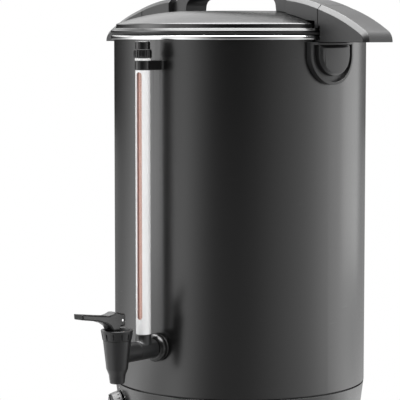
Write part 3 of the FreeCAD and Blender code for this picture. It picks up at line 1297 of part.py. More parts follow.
switch_place = skirt_place(size("switch_angle"), size(panel_level))
frame = new_body("switch_frame", switch_place)
add_block(frame, "switch_bezel", "XY_Plane", [box_corners(
    "-switch_length / 2 - bezel_rim", "switch_length / 2 + bezel_rim",
    "-switch_width / 2 - bezel_rim", "switch_width / 2 + bezel_rim")], "1.8", offset="0.2")
add_block(frame, "switch_case", "XY_Plane", [box_corners(
    "-switch_length / 2 - 1.2", "switch_length / 2 + 1.2",
    "-switch_width / 2 - 1.2", "switch_width / 2 + 1.2")], "18.5", offset="-18")
cut_block(frame, "switch_well", "XY_Plane", offset="-10", forward=True, outlines=[box_corners(
    "-switch_length / 2", "switch_length / 2", "-switch_width / 2", "switch_width / 2")])

rocker = new_body("switch_rocker", switch_place)
rocker_base = "-rocker_sink"
ends = []
for angle in ("rocker_rise", "rocker_rise - rocker_swing"):
    ends.append((f"rocker_reach * cos({angle})", f"{rocker_base} + rocker_reach * sin({angle})"))
add_block(rocker, "rocker_key", "XZ_Plane", [[
    ("-3", f"{rocker_base} - 3"),
    ("3", f"{rocker_base} - 3"),
    ("rocker_reach - 1", rocker_base),
    ("rocker_reach", rocker_base, "left", "rocker_reach"),
    ends[0],
    ("0", f"{rocker_base} + 4.6"),
    (f"-{ends[1][0]}", ends[1][1], "left", "rocker_reach"),
    ("-rocker_reach", rocker_base),
    ("-rocker_reach + 1", rocker_base),
]], "switch_width - 0.8", both=True)

lamp_places = [skirt_place(sign * size("lamp_angle"), size(panel_level)) for sign in (1, -1)]
lens = Part.makeCylinder(size("lamp_radius"), 1, Vector(0, 0, 0.2))
crown = Part.makeSphere(size("lamp_radius") * 1.15, Vector(0, 0, 1.2 - size("lamp_radius") * 0.57))
crown = crown.common(Part.makeCylinder(size("lamp_radius"), 6, Vector(0, 0, 1.2)))
barrel = Part.makeCylinder(size("lamp_radius - 0.7"), size("lamp_depth"), Vector(0, 0, size("0.2 - lamp_depth")))
make_group("pilot_lamps", lens.fuse(crown).fuse(barrel).removeSplitter(), lamp_places)

inlet_place = skirt_place(180, size("inlet_level"))
inlet = new_body("inlet_socket", inlet_place)
add_block(inlet, "inlet_flange", "XY_Plane", [box_corners(
    "-inlet_width / 2 - inlet_side", "inlet_width / 2 + inlet_side",
    "-inlet_height / 2 - inlet_end", "inlet_height / 2 + inlet_end")],
    "inlet_flange_wall", offset="0.2")
add_block(inlet, "inlet_case", "XY_Plane", [box_corners(
    "-inlet_width / 2 - 2", "inlet_width / 2 + 2", "-inlet_height / 2 - 2", "inlet_height / 2 + 2")],
    "inlet_depth + 3", offset="-inlet_depth - 2")
cut_block(inlet, "inlet_hollow", "XY_Plane", offset="2.6 - inlet_depth", forward=True, outlines=[[
    ("-inlet_width / 2", "-inlet_height / 2"),
    ("inlet_width / 2 - 4", "-inlet_height / 2"),
    ("inlet_width / 2", "-inlet_height / 2 + 4"),
    ("inlet_width / 2", "inlet_height / 2 - 4"),
    ("inlet_width / 2 - 4", "inlet_height / 2"),
    ("-inlet_width / 2", "inlet_height / 2"),
]])
cut_block(inlet, "inlet_screw_holes", "XY_Plane", forward=True, circles=[
    ("0", side + "(inlet_height / 2 + inlet_screw_reach)", "1.7") for side in ("", "-")])
pin_blade = Part.makeBox(2, 4, size("inlet_depth + 6"), Vector(-1, -2, size("-inlet_depth - 7")))
pin_spots = [Vector(-1.5, 7, 0), Vector(-1.5, -7, 0), Vector(2.5, 0, 0)]
make_group("inlet_pins", pin_blade, [inlet_place.multiply(Placement(spot, Rotation())) for spot in pin_spots])
cut_block(inlet, "inlet_blade_slots", "XY_Plane", forward=True, offset="-inlet_depth - 4",
          outlines=[box_corners(f"{spot.x - 1}", f"{spot.x + 1}", f"{spot.y - 2}", f"{spot.y + 2}")
                    for spot in pin_spots])
make_group("inlet_screws", screw_shape(2.8, 1.7, 1.6, 7), [
    inlet_place.multiply(towards(0, side * size("inlet_height / 2 + inlet_screw_reach"),
                                 size("inlet_flange_wall + 0.2"), Vector(0, 0, -1)))
    for side in (1, -1)])

block = new_body("terminal_block")
add_block(block, "block_body", "XY_Plane", [box_corners("-22", "22", "52", "68")], "15",
          offset="foot_height + plate_wall")
cut_block(block, "block_screw_wells", "XY_Plane", offset="foot_height + plate_wall + 7", forward=True,
          circles=[(str(place), "60", "3") for place in (-15, -5, 5, 15)])

# Check and write

PIECES = [
    "outer_shell", "inner_tank", "rim_ring", "lid_shell", "lid_gasket", "lid_handle", "lid_handle_screws",
    "side_handle_right", "side_handle_left", "handle_cover_right", "handle_cover_left",
    "side_handle_screws", "handle_backing_plates", "gauge_shield", "gauge_glass", "gauge_strip",
    "gauge_clamp", "clamp_screws", "gauge_ring", "gauge_nut", "gauge_cap", "gauge_seal", "gauge_tee",
    "outer_washer", "flange_nut", "wall_spacer", "inner_washer", "lock_nut", "tap_body", "tap_collar",
    "tap_stem", "seat_cup", "tap_spring", "tap_lever", "lever_pin", "base_skirt", "base_plate",
    "rubber_feet", "foot_screws", "centre_stud", "stud_nut", "heater_plate", "heating_element",
    "cutout_switch", "cutout_strap", "strap_screws", "thermostat", "thermostat_nut",
    "thermostat_shaft", "control_knob", "switch_frame", "switch_rocker", "pilot_lamps",
    "inlet_socket", "inlet_pins", "inlet_screws", "terminal_block",
]

doc.recompute()
faults = [item.Name for item in doc.Objects if "Invalid" in item.State or "Error" in item.State]
if faults:
    raise ValueError(f"failed features: {faults}")
os.makedirs("parts", exist_ok=True)
for label in PIECES:
    piece = doc.getObjectsByLabel(label)[0]
    shape = piece.Shape
    if shape.isNull() or not shape.isValid() or not shape.Solids:
        raise ValueError(f"{label} has no sound solid")
for label in PIECES:
    piece = doc.getObjectsByLabel(label)[0]
    piece.Shape.exportStep(f"parts/{label}.step")
    box = piece.Shape.BoundBox
    print(f"{label}: {len(piece.Shape.Solids)} solids, {piece.Shape.Volume / 1000:.2f} cm3, "
          f"z {box.ZMin:.1f} to {box.ZMax:.1f}")
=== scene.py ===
# %% [markdown]
# # A hot water urn
# The urn is a tall black drum with a low domed lid, one long bowed handle, a sight gauge and a
# lever tap. Its solids come from a CAD model that is loaded first. Everything made below is laid
# over those solids in the same frame: metres, +Z up, the tap towards -Y.

# %% Load the model
import json
import math

import bmesh
import bpy
from mathutils import Matrix, Vector


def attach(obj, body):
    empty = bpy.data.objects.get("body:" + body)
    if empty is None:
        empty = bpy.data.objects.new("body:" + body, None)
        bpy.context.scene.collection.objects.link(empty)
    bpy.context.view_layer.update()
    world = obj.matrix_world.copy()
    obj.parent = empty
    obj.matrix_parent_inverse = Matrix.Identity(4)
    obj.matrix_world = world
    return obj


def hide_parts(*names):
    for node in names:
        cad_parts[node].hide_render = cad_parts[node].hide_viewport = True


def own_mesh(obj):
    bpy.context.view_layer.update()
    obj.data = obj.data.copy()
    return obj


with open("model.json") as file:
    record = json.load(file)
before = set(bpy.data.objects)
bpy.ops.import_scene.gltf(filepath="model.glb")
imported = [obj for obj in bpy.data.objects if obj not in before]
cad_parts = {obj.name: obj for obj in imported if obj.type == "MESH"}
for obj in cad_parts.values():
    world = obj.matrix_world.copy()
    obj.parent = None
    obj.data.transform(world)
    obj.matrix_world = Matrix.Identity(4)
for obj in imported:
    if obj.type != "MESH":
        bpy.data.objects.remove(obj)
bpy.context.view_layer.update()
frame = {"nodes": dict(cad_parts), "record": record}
BODIES = frame["record"]["behaviour"]["bodies"]
SLOT_OF = {row["node"]: row["material_slot"] for row in frame["record"]["subparts"]}
BODY_OF = {node: body for body, nodes in BODIES.items() for node in nodes}

# %% [markdown]
# ## Sizes
# A few levels and radii place every piece, in metres. They are the sizes of the real urn, such as
# the level of the rim above the table, so a reader can tell which part of it a number stands for.
# The skirt's two ends are a radius and a level each.

# %% Levels and radii
RIM = 0.4445
SEAM = 0.079
SHELL = 0.135
GAUGE = Vector((0, -(SHELL + 0.0227), 0))
SKIRT_FOOT = (0.126, 0.009)
SKIRT_TOP = (SHELL - 0.0003, SEAM - 0.0018)
print("rim level", RIM, "seam level", SEAM)

# %% [markdown]
# ## Writing shaders as sums
# A material is a net of nodes. Linking them one by one hides what they work out, so a socket is
# wrapped in a small class that can be added and multiplied. A recipe makes any other node, with a
# short name for each one that is used often.

# %% A socket that can be used in a sum
MIX_SOCKETS = {"FLOAT": (2, 3, 0), "RGBA": (6, 7, 2)}


def grey(level):
    return (level, level, level, 1.0)


class Amount:
    """One output socket, and the recipe that it belongs to."""

    def __init__(self, recipe, socket):
        self.recipe = recipe
        self.socket = socket

    def __add__(self, other):
        return self.recipe.math("ADD", self, other)

    def __sub__(self, other):
        return self.recipe.math("SUBTRACT", self, other)

    def __mul__(self, other):
        return self.recipe.math("MULTIPLY", self, other)


class Recipe:
    """Makes the nodes of one tree."""

    def __init__(self, tree):
        self.tree = tree

    def node(self, kind, settings=None, sockets=None, output=0):
        """A node of a type, with its settings, then its sockets' values or links."""
        made = self.tree.nodes.new(kind)
        for name, value in (settings or {}).items():
            if name == "stops":
                self.set_stops(made.color_ramp, value)
            else:
                setattr(made, name, value)
        for name, value in (sockets or {}).items():
            self.feed(made.inputs[name], value)
        return Amount(self, made.outputs[output])

    def feed(self, socket, value):
        if isinstance(value, Amount):
            self.tree.links.new(value.socket, socket)
        else:
            socket.default_value = value

    @staticmethod
    def set_stops(ramp, stops):
        """Give a colour ramp its grey stops."""
        while len(ramp.elements) < len(stops):
            ramp.elements.new(1.0)
        for element, (place, level) in zip(ramp.elements, stops):
            element.position = place
            element.color = grey(level)

    def math(self, operation, *values):
        return self.node("ShaderNodeMath", {"operation": operation}, dict(enumerate(values)))

    def vectors(self, operation, *values):
        """A sum of vectors. A length or a dot product is a number, anything else a vector."""
        output = "Value" if operation in ("LENGTH", "DOT_PRODUCT") else "Vector"
        settings = {"operation": operation}
        return self.node("ShaderNodeVectorMath", settings, dict(enumerate(values)), output)

    def mix(self, low, high, factor, kind="FLOAT"):
        """What a factor picks between a low and a high value."""
        first, second, output = MIX_SOCKETS[kind]
        sockets = {0: factor, first: low, second: high}
        return self.node("ShaderNodeMix", {"data_type": kind}, sockets, output)

    def climb(self, value, start, end, low=0.0, high=1.0, kind="LINEAR"):
        """Low up to the start, high from the end on, and a slope between them."""
        settings = {"clamp": True, "interpolation_type": kind}
        sockets = {0: value, 1: start, 2: end, 3: low, 4: high}
        return self.node("ShaderNodeMapRange", settings, sockets)

    def split(self, vector):
        """The x, y and z of a vector."""
        parts = self.tree.nodes.new("ShaderNodeSeparateXYZ")
        self.feed(parts.inputs[0], vector)
        return [Amount(self, parts.outputs[axis]) for axis in "XYZ"]

    def rays(self):
        """1 for a ray from the camera or through glass, and 1 for a mirrored ray."""
        path = self.tree.nodes.new("ShaderNodeLightPath")
        kinds = ("Is Camera Ray", "Is Transmission Ray", "Is Glossy Ray")
        camera_ray, through, mirrored = [Amount(self, path.outputs[kind]) for kind in kinds]
        return camera_ray + through, mirrored


# %% [markdown]
# ## One finish, many uses
# Each finish starts from the Principled shader. Whatever stays the same all over the surface is set
# on the shader itself. Only colour, roughness and the fine relief vary, and they read the object's
# own coordinates, so the pattern keeps its real scale on every piece.

# %% The start of every finish
class Finish(Recipe):
    """A material that is named for its finish."""

    def __init__(self, name, **fixed):
        self.material = bpy.data.materials.new(name)
        self.material.use_nodes = True
        super().__init__(self.material.node_tree)
        self.shader = self.tree.nodes["Principled BSDF"]
        for socket, value in fixed.items():
            self.shader.inputs[socket.replace("_", " ")].default_value = value
        self.place = self.node("ShaderNodeTexCoord", output="Object")

    def stretched(self, across, up):
        """Coordinates with their own scale across and up."""
        return self.vectors("MULTIPLY", self.place, (across, across, up))

    def noise(self, scale, vector=None, detail=3.0):
        """Soft random clouds from 0 to 1."""
        sockets = {"Vector": vector or self.place, "Scale": scale, "Detail": detail}
        return self.node("ShaderNodeTexNoise", None, sockets)

    def between(self, low, high, factor):
        """A colour that a factor picks between two."""
        return self.mix(low, high, factor, "RGBA")

    def relief(self, height, depth):
        """Fine relief, whose depth is in metres."""
        sockets = {"Height": height, "Distance": depth, "Strength": 1.0}
        self.give("Normal", self.node("ShaderNodeBump", None, sockets))

    def give(self, socket, value):
        self.feed(self.shader.inputs[socket], value)


FINISHES = {}

# %% [markdown]
# ## Satin black sheet
# The drum is steel sheet with a thin satin black coat over a finely ground surface. The grinding
# runs round the drum, so the noise is stretched: slow along the lines, quick across them. It
# changes the roughness more than the colour, which is how such a coat shows it. The lid has the
# same coat, over the rings that spinning leaves, so its lines follow the distance from the axis.

# %% Satin black sheet
COAT_SHADE = 0.002
COAT_ROUGHNESS = 0.25
LINES_ALONG, LINES_ACROSS = 22, 2400
LINE_DEPTH = 0.000006


def satin_sheet(name, rings=False):
    finish = Finish(name, IOR=1.7)
    if rings:
        distance = finish.vectors("LENGTH", finish.stretched(1, 0))
        spun = finish.node("ShaderNodeCombineXYZ", None, {0: distance * LINES_ACROSS})
        way = finish.vectors("ADD", spun, finish.stretched(LINES_ALONG, LINES_ALONG))
    else:
        way = finish.stretched(LINES_ALONG, LINES_ACROSS)
    ground = finish.noise(1.0, way, 2.0)
    cloud = finish.noise(16.0)
    shades = grey(COAT_SHADE * 0.75), grey(COAT_SHADE * 1.35)
    finish.give("Base Color", finish.between(*shades, ground))
    finish.give("Roughness", ground * 0.07 + cloud * 0.05 + (COAT_ROUGHNESS - 0.06))
    finish.relief(ground, LINE_DEPTH)
    return finish.material


FINISHES["shell_black"] = satin_sheet("satin_black_sheet")
FINISHES["skirt_black"] = satin_sheet("satin_black_skirt")
SPUN_LID = satin_sheet("satin_black_lid", rings=True)

# %% [markdown]
# ## Steel
# Rim, nut and pins are polished or plated, with only faint lines round them. Inside the tank the
# sheet is brushed up and down. Each way of working is a scale across and a scale up.

# %% Steel
BRUSHED_UPRIGHT = (1500, 24)
POLISHED_ROUND = (26, 2200)


def steel(name, shade_level, roughness, worked, depth):
    finish = Finish(name, Metallic=1.0)
    lines = finish.noise(1.0, finish.stretched(*worked), 2.0)
    cloud = finish.noise(30.0, None, 2.0)
    shades = grey(shade_level * 0.9), grey(shade_level * 1.08)
    finish.give("Base Color", finish.between(*shades, lines))
    finish.give("Roughness", lines * 0.10 + cloud * 0.06 + (roughness - 0.08))
    finish.relief(lines, depth)
    return finish.material


FINISHES["steel_satin"] = steel("brushed_steel", 0.56, 0.32, BRUSHED_UPRIGHT, 0.000004)
FINISHES["steel_bright"] = steel("polished_steel", 0.78, 0.16, POLISHED_ROUND, 0.000001)
FINISHES["zinc"] = steel("zinc_plate", 0.55, 0.30, POLISHED_ROUND, 0.000001)

# %% [markdown]
# ## Moulded plastic
# Handles, tap and clamp are a glass-filled plastic with a fine grain from the mould. Small clouds
# vary the shine, as on a part that hands touch. The cap, its nut, the switch and the inlet are
# smoother and glossier. The softer and paler parts use the same recipe with other numbers.

# %% Moulded plastic
def tinted(colour, factor):
    """A colour made darker or lighter, with its alpha."""
    return tuple(min(level * factor, 1.0) for level in colour) + (1.0,)


def plastic(name, colour, roughness, grain, depth):
    finish = Finish(name, IOR=1.5)
    fine = finish.noise(grain, None, 2.0)
    cloud = finish.noise(55.0)
    shades = tinted(colour, 0.86), tinted(colour, 1.16)
    finish.give("Base Color", finish.between(*shades, fine * 0.5 + cloud * 0.5))
    finish.give("Roughness", cloud * 0.10 + fine * 0.06 + (roughness - 0.08))
    finish.relief(fine, depth)
    return finish.material


for slot, name, colour, roughness, grain, depth in (
        ("plastic_black", "moulded_black", (0.013, 0.013, 0.0135), 0.34, 1500, 0.00002),
        ("plastic_gloss", "gloss_black", (0.007, 0.007, 0.007), 0.20, 900, 0.000006),
        ("ring_white", "white_washer", (0.82, 0.82, 0.81), 0.45, 900, 0.00001),
        ("silicone", "grey_silicone", (0.55, 0.55, 0.53), 0.55, 1200, 0.00002),
        ("ceramic", "glazed_ceramic", (0.74, 0.72, 0.67), 0.30, 700, 0.00001),
        ("rubber", "black_rubber", (0.022, 0.022, 0.022), 0.70, 1100, 0.00005)):
    FINISHES[slot] = plastic(name, colour, roughness, grain, depth)

# %% [markdown]
# ## Paint, glass, copper strip and the small metals
# The gauge shield has a white satin paint. Behind its slot stands a strip in a dull copper colour
# with one fine row of dots and a dark edge. That edge is partly the strip's own dark brown and
# partly painted shade from the slot's side wall. Both are worked out from the distance across the
# strip, as the slot shows it, and the dots are spaced by a sine wave up it. The strip also has a
# painted glow: it gives off its own colour as light, in place of the light that comes in through
# the slot. Nothing here is a picture.

# %% Paint, glass and small metals
STRIP_WAY = (0.75, 0.66, 0)
DOT_ROW, DOT_REACH = -0.0021, 0.0006
DOTS_UP = 4200
# The strip's dark edge is partly its own dark brown and partly painted shade from the slot's side
# wall.
STRIP_SHADED_EDGE = (-0.0046, -0.0036)
COPPER_DARK, COPPER_LIGHT = (0.82, 0.50, 0.42, 1.0), (0.90, 0.60, 0.51, 1.0)
COPPER_DOT, COPPER_EDGE_BROWN_AND_SHADE = (0.42, 0.18, 0.14, 1.0), (0.16, 0.055, 0.045, 1.0)
LENS_DARK, LENS_LIGHT = (0.42, 0.012, 0.010, 1.0), (0.62, 0.03, 0.02, 1.0)


def shield_paint():
    finish = Finish("white_paint", Coat_Weight=0.2, Coat_Roughness=0.15)
    peel = finish.noise(700, None, 2.0)
    finish.give("Base Color", finish.between(grey(0.84), grey(0.90), peel))
    finish.give("Roughness", peel * 0.10 + 0.28)
    finish.relief(peel, 0.00001)
    return finish.material


def dotted_copper():
    # The emission is a painted glow: the strip gives off its own colour, in place of the light that
    # comes in through the slot.
    finish = Finish("dotted_copper", Metallic=0.1, Emission_Strength=0.4)
    across = finish.vectors("DOT_PRODUCT", finish.place, STRIP_WAY) - GAUGE.y * STRIP_WAY[1]
    wave = finish.math("SINE", finish.split(finish.place)[2] * DOTS_UP)
    row = finish.math("COMPARE", across, DOT_ROW, DOT_REACH)
    dots = finish.math("GREATER_THAN", row * wave, 0.1)
    # Dark edge: the strip's dark brown together with painted shade from the slot's side wall.
    edge = finish.climb(across, *STRIP_SHADED_EDGE, 1.0, 0.0)
    worn = finish.noise(120)
    dotted = finish.between(finish.between(COPPER_DARK, COPPER_LIGHT, worn), COPPER_DOT, dots * 0.7)
    colour = finish.between(dotted, COPPER_EDGE_BROWN_AND_SHADE, edge)
    finish.give("Base Color", colour)
    # Painted glow: the strip's colour is also given off as light.
    finish.give("Emission Color", colour)
    finish.give("Roughness", worn * 0.15 + 0.35)
    return finish.material


def clear_tube():
    finish = Finish("clear_tube", IOR=1.46, Alpha=0.06)
    smear = finish.noise(60)
    finish.give("Roughness", smear * 0.04 + 0.03)
    finish.give("Base Color", finish.between(grey(0.72), grey(0.82), smear))
    return finish.material


def lamp_red():
    finish = Finish("red_lens", IOR=1.49, Coat_Weight=0.5, Coat_Roughness=0.05)
    depth = finish.noise(500, None, 1.0)
    finish.give("Base Color", finish.between(LENS_DARK, LENS_LIGHT, depth))
    finish.give("Roughness", depth * 0.1 + 0.12)
    return finish.material


def small_metal(name, colour, roughness):
    finish = Finish(name, Metallic=1.0)
    cast = finish.noise(400)
    finish.give("Base Color", finish.between(tinted(colour, 0.88), tinted(colour, 1), cast))
    finish.give("Roughness", cast * 0.15 + roughness)
    finish.relief(cast, 0.00001)
    return finish.material


FINISHES["shield_white"] = shield_paint()
FINISHES["gauge_copper"] = dotted_copper()
FINISHES["gauge_glass"] = clear_tube()
FINISHES["lamp_red"] = lamp_red()
FINISHES["brass"] = small_metal("plain_brass", (0.72, 0.56, 0.26), 0.22)
FINISHES["aluminium"] = small_metal("cast_aluminium", (0.72, 0.72, 0.72), 0.35)
MARK_WHITE = plastic("printed_mark", (0.75, 0.75, 0.74), 0.5, 900, 0.000004)
GLOSS = FINISHES["plastic_gloss"]
print("finishes", len(FINISHES) + 2)

# %% [markdown]
# ## From CAD solid to finished piece
# A CAD node's mesh is loose triangles. A copy is merged, its flat faces are joined again, and the
# corners that stand out sharp get a narrow bevel, because no moulded or pressed edge is knife sharp
# and the light line on it is what the eye reads. The copy then stands in for the node.

# %% Helpers that finish a piece
SMOOTH_ANGLE = math.radians(38)
MERGE_DISTANCE = 0.000002


def settle(piece, finish, body, slot, *nodes):
    """Give a piece its material, the body that it moves with and the nodes that it stands for."""
    piece.data.materials.clear()
    piece.data.materials.append(finish)
    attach(piece, body)
    if nodes:
        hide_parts(*nodes)
    print(piece.name, "on", body, len(piece.data.polygons), "faces")
    return piece


def new_piece(name, mesh):
    piece = bpy.data.objects.new(name, mesh)
    bpy.context.scene.collection.objects.link(piece)
    return piece


def mesh_of(shape, name):
    """Write a shape to a new mesh and let the shape go."""
    mesh = bpy.data.meshes.new(name)
    shape.to_mesh(mesh)
    shape.free()
    return mesh


def shade(mesh):
    """Smooth shading that breaks at sharp corners."""
    for face in mesh.polygons:
        face.use_smooth = True
    mesh.set_sharp_from_angle(angle=SMOOTH_ANGLE)


def softened_copy(node, edge, steps, corner, joined):
    """A merged copy of a node's mesh with a narrow bevel on its corners."""
    shape = bmesh.new()
    shape.from_mesh(frame["nodes"][node].data)
    bmesh.ops.remove_doubles(shape, verts=shape.verts, dist=MERGE_DISTANCE)
    if joined:
        bmesh.ops.dissolve_limit(shape, angle_limit=math.radians(joined),
                                 use_dissolve_boundaries=False,
                                 verts=shape.verts, edges=shape.edges)
    if edge:
        least = math.radians(corner)
        ridges = [line for line in shape.edges if len(line.link_faces) == 2 and line.is_convex]
        sharp = [line for line in ridges if line.calc_face_angle(0) > least]
        bmesh.ops.bevel(shape, geom=sharp, offset=edge, offset_type="OFFSET", segments=steps,
                        profile=0.5, affect="EDGES", clamp_overlap=False, loop_slide=True)
    return mesh_of(shape, node + "_shape")


def dress(node, name, edge, steps=2, corner=28, joined=0.4):
    """Stand a softened copy in for one node. Angles are in degrees."""
    piece = new_piece(name, softened_copy(node, edge, steps, corner, joined))
    shade(piece.data)
    weigh = piece.modifiers.new("even_faces", "WEIGHTED_NORMAL")
    weigh.keep_sharp = True
    slot = SLOT_OF[node]
    return settle(piece, FINISHES[slot], BODY_OF[node], slot, node)


# %% [markdown]
# ## Turning on a lathe
# Lid, rim, nut and feet are round about one axis. Such a piece is an outline swept round that axis.
# The outline's corners are rounded first, with as many points as the light on them needs.

# %% Turned pieces
def rounded(corners, steps=5):
    """An outline of (radius, height, rounding) corners with each corner made an arc."""
    points = []
    for index, (u, v, radius) in enumerate(corners):
        here = Vector((u, v))
        before = Vector(corners[index - 1][:2]) - here
        after = Vector(corners[(index + 1) % len(corners)][:2]) - here
        if radius <= 0:
            points.append(here)
            continue
        angle = before.angle(after)
        reach = min(radius / math.tan(angle / 2), before.length * 0.49, after.length * 0.49)
        start = here + before.normalized() * reach
        end = here + after.normalized() * reach
        for step in range(steps + 1):
            t = step / steps
            points.append(start * (1 - t) ** 2 + here * (2 * t * (1 - t)) + end * t ** 2)
    return points


def ring_of_points(shape, radius, level, around):
    """The points of one circle, or a single point many times on the axis."""
    if radius < 1e-6:
        return [shape.verts.new((0, 0, level))] * around
    angles = [2 * math.pi * step / around for step in range(around)]
    return [shape.verts.new((radius * math.cos(angle), radius * math.sin(angle), level))
            for angle in angles]


def turned_mesh(name, outline, around):
    """Sweep a closed outline about the upright axis. Points on the axis become poles."""
    shape = bmesh.new()
    rings = [ring_of_points(shape, point[0], point[1], around) for point in outline]
    for index, ring in enumerate(rings):
        other = rings[(index + 1) % len(rings)]
        for step in range(around):
            after = (step + 1) % around
            corners = []
            for vertex in (ring[step], ring[after], other[after], other[step]):
                if vertex not in corners:
                    corners.append(vertex)
            if len(corners) > 2:
                shape.faces.new(corners)
    bmesh.ops.recalc_face_normals(shape, faces=shape.faces)
    return mesh_of(shape, name)


def turned(name, outline, around, place=Matrix()):
    """A turned piece, moved to its place in its mesh."""
    mesh = turned_mesh(name, outline, around)
    mesh.transform(place)
    shade(mesh)
    return new_piece(name, mesh)


# %% [markdown]
# ## Repeated pieces
# Ribs, marks and feet repeat, so Geometry Nodes set them out. One tree places copies round a ring,
# each turned to face outwards, and ends in plain, realised mesh.

# %% A tree that repeats a piece
RING_INPUTS = {"Piece": "Object", "Count": "Int", "Radius": "Float", "First angle": "Float",
               "Step angle": "Float"}


def ring_tree():
    """Copies of a piece round a ring."""
    tree = bpy.data.node_groups.new("ring_of_pieces", "GeometryNodeTree")
    for way in ("INPUT", "OUTPUT"):
        tree.interface.new_socket("Geometry", in_out=way, socket_type="NodeSocketGeometry")
    for title, kind in RING_INPUTS.items():
        tree.interface.new_socket(title, in_out="INPUT", socket_type="NodeSocket" + kind)
    recipe = Recipe(tree)
    start = tree.nodes.new("NodeGroupInput")
    entry = {title: Amount(recipe, start.outputs[title]) for title in RING_INPUTS}
    angle = recipe.node("GeometryNodeInputIndex") * entry["Step angle"] + entry["First angle"]
    side = recipe.math("SINE", angle) * entry["Radius"]
    front = recipe.math("COSINE", angle) * entry["Radius"] * -1.0
    spot = recipe.node("ShaderNodeCombineXYZ", None, {0: side, 1: front})
    points = recipe.node("GeometryNodePoints", None, {"Count": entry["Count"], "Position": spot})
    turn = recipe.node("ShaderNodeCombineXYZ", None, {2: angle})
    piece = recipe.node("GeometryNodeObjectInfo", None, {"Object": entry["Piece"]}, "Geometry")
    copies = recipe.node("GeometryNodeInstanceOnPoints", None,
                         {"Points": points, "Instance": piece, "Rotation": turn})
    solid = recipe.node("GeometryNodeRealizeInstances", None, {0: copies})
    leave = tree.nodes.new("NodeGroupOutput")
    recipe.feed(leave.inputs["Geometry"], solid)
    return tree


RING_TREE = ring_tree()
print("tree", RING_TREE.name)


def ring_of(name, pattern, count, radius, first_angle, step_angle, place=Matrix()):
    """Run the tree on a pattern's mesh and keep its result as a plain piece."""
    lent = bpy.data.objects.new(pattern.name + "_pattern", pattern)
    maker = new_piece(name + "_maker", bpy.data.meshes.new(name + "_base"))
    modifier = maker.modifiers.new("grow", "NODES")
    modifier.node_group = RING_TREE
    sockets = {item.name: item.identifier for item in RING_TREE.interface.items_tree
               if item.in_out == "INPUT"}
    for title, value in zip(RING_INPUTS, (lent, count, radius, first_angle, step_angle)):
        modifier[sockets[title]] = value
    graph = bpy.context.evaluated_depsgraph_get()
    mesh = bpy.data.meshes.new_from_object(maker.evaluated_get(graph))
    maker.modifiers.remove(modifier)
    bpy.data.objects.remove(maker)
    mesh.name = name
    mesh.transform(place)
    shade(mesh)
    return new_piece(name, mesh)


# %% [markdown]
# ## The camera
# The photograph looks at the urn from the right of the tap, a little above the rim, through a long
# lens that stands about two metres off. The drum's axis falls right of the middle of the frame.

# %% Camera at the photograph's angle
VIEW_AZIMUTH = math.radians(38.5)
VIEW_DISTANCE = 2.0539
VIEW_HEIGHT = 0.4522
VIEW_YAW = math.radians(-1.196)
VIEW_PITCH = math.radians(5.03)
LENS, FILM_WIDTH = 171.63, 36
UP = Vector((0, 0, 1))


def view_direction(azimuth):
    """The level way from the urn's axis to an azimuth, counted from the tap towards +X."""
    return Vector((math.sin(azimuth), -math.cos(azimuth), 0))


scene = bpy.context.scene
lens = bpy.data.cameras.new("camera")
lens.lens = LENS
lens.sensor_width = FILM_WIDTH
lens.clip_start = 0.1
camera = bpy.data.objects.new("camera", lens)
scene.collection.objects.link(camera)
front = view_direction(VIEW_AZIMUTH)
to_right = (-front).cross(UP)
level_sight = to_right * math.sin(VIEW_YAW) - front * math.cos(VIEW_YAW)
sight = level_sight * math.cos(VIEW_PITCH) - UP * math.sin(VIEW_PITCH)
camera.location = front * VIEW_DISTANCE + UP * VIEW_HEIGHT
camera.rotation_euler = sight.to_track_quat("-Z", "Y").to_euler()
scene.camera = camera
print("camera at", [round(value, 3) for value in camera.location])

# %% [markdown]
# ## Studio
# A glossy black drum shows the room more than itself, so its light bands and its dark middle come
# from the walls that it mirrors. One table sets how bright they look by their direction, in degrees
# from the camera to the right. A second one does it for the upper walls behind the urn, and above
# them a bright ceiling gives the dome its shine. The camera sees plain white, and matt surfaces get
# an even light that is a little stronger from the right. Three soft boxes cast the shadows.

# %% World and soft boxes
scene.view_settings.view_transform = "Standard"
WALLS = [
    (-180, 0.0), (-156, 0.02), (-142, 0.05), (-131, 0.13), (-120, 0.33), (-108, 0.7), (-96, 0.83),
    (-70, 0.45), (-58, 0.62), (-50, 0.64), (-41, 0.40), (-33, 0.20), (-23, 0.05), (-10, 0.01),
    (2, 0.01), (14, 0.055), (26, 0.15), (46, 0.32), (57, 0.42), (68, 0.58), (78, 0.77), (88, 1.0),
    (104, 0.95), (118, 0.6), (135, 0.35), (150, 0.18), (180, 0.0)]
BACK_WALLS = [
    (-180, 0.56), (-168, 0.82), (-150, 1.0), (-90, 1.0), (90, 0.32), (160, 0.32), (172, 0.42),
    (180, 0.56)]
WALL_LIGHT = 1.8
FLOOR_LIGHT = 0.28
CEILING_LIGHT = 12.0
PLAIN_LIGHT, SIDE_LIGHT = 0.9, 0.2
BEHIND = -0.5
BACK_WALLS_RISE = (0.10, 0.22)
CEILING_RISE = (0.66, 0.86)
AIM = Vector((0, 0, 0.26))


def from_camera(x, y):
    """How far a way goes towards the camera, and how far to its right."""
    return x * front.x + y * front.y, x * to_right.x + y * to_right.y


def level_round(recipe, x, y, table):
    """The brightness that a table gives for a way, counted from the camera to the right."""
    towards_camera, towards_right = from_camera(x, y)
    turn = recipe.math("ARCTAN2", towards_right, towards_camera)
    part = turn * (0.5 / math.pi) + 0.5
    stops = [((angle + 180) / 360, level) for angle, level in table]
    return recipe.node("ShaderNodeValToRGB", {"stops": stops}, {"Fac": part}) * WALL_LIGHT


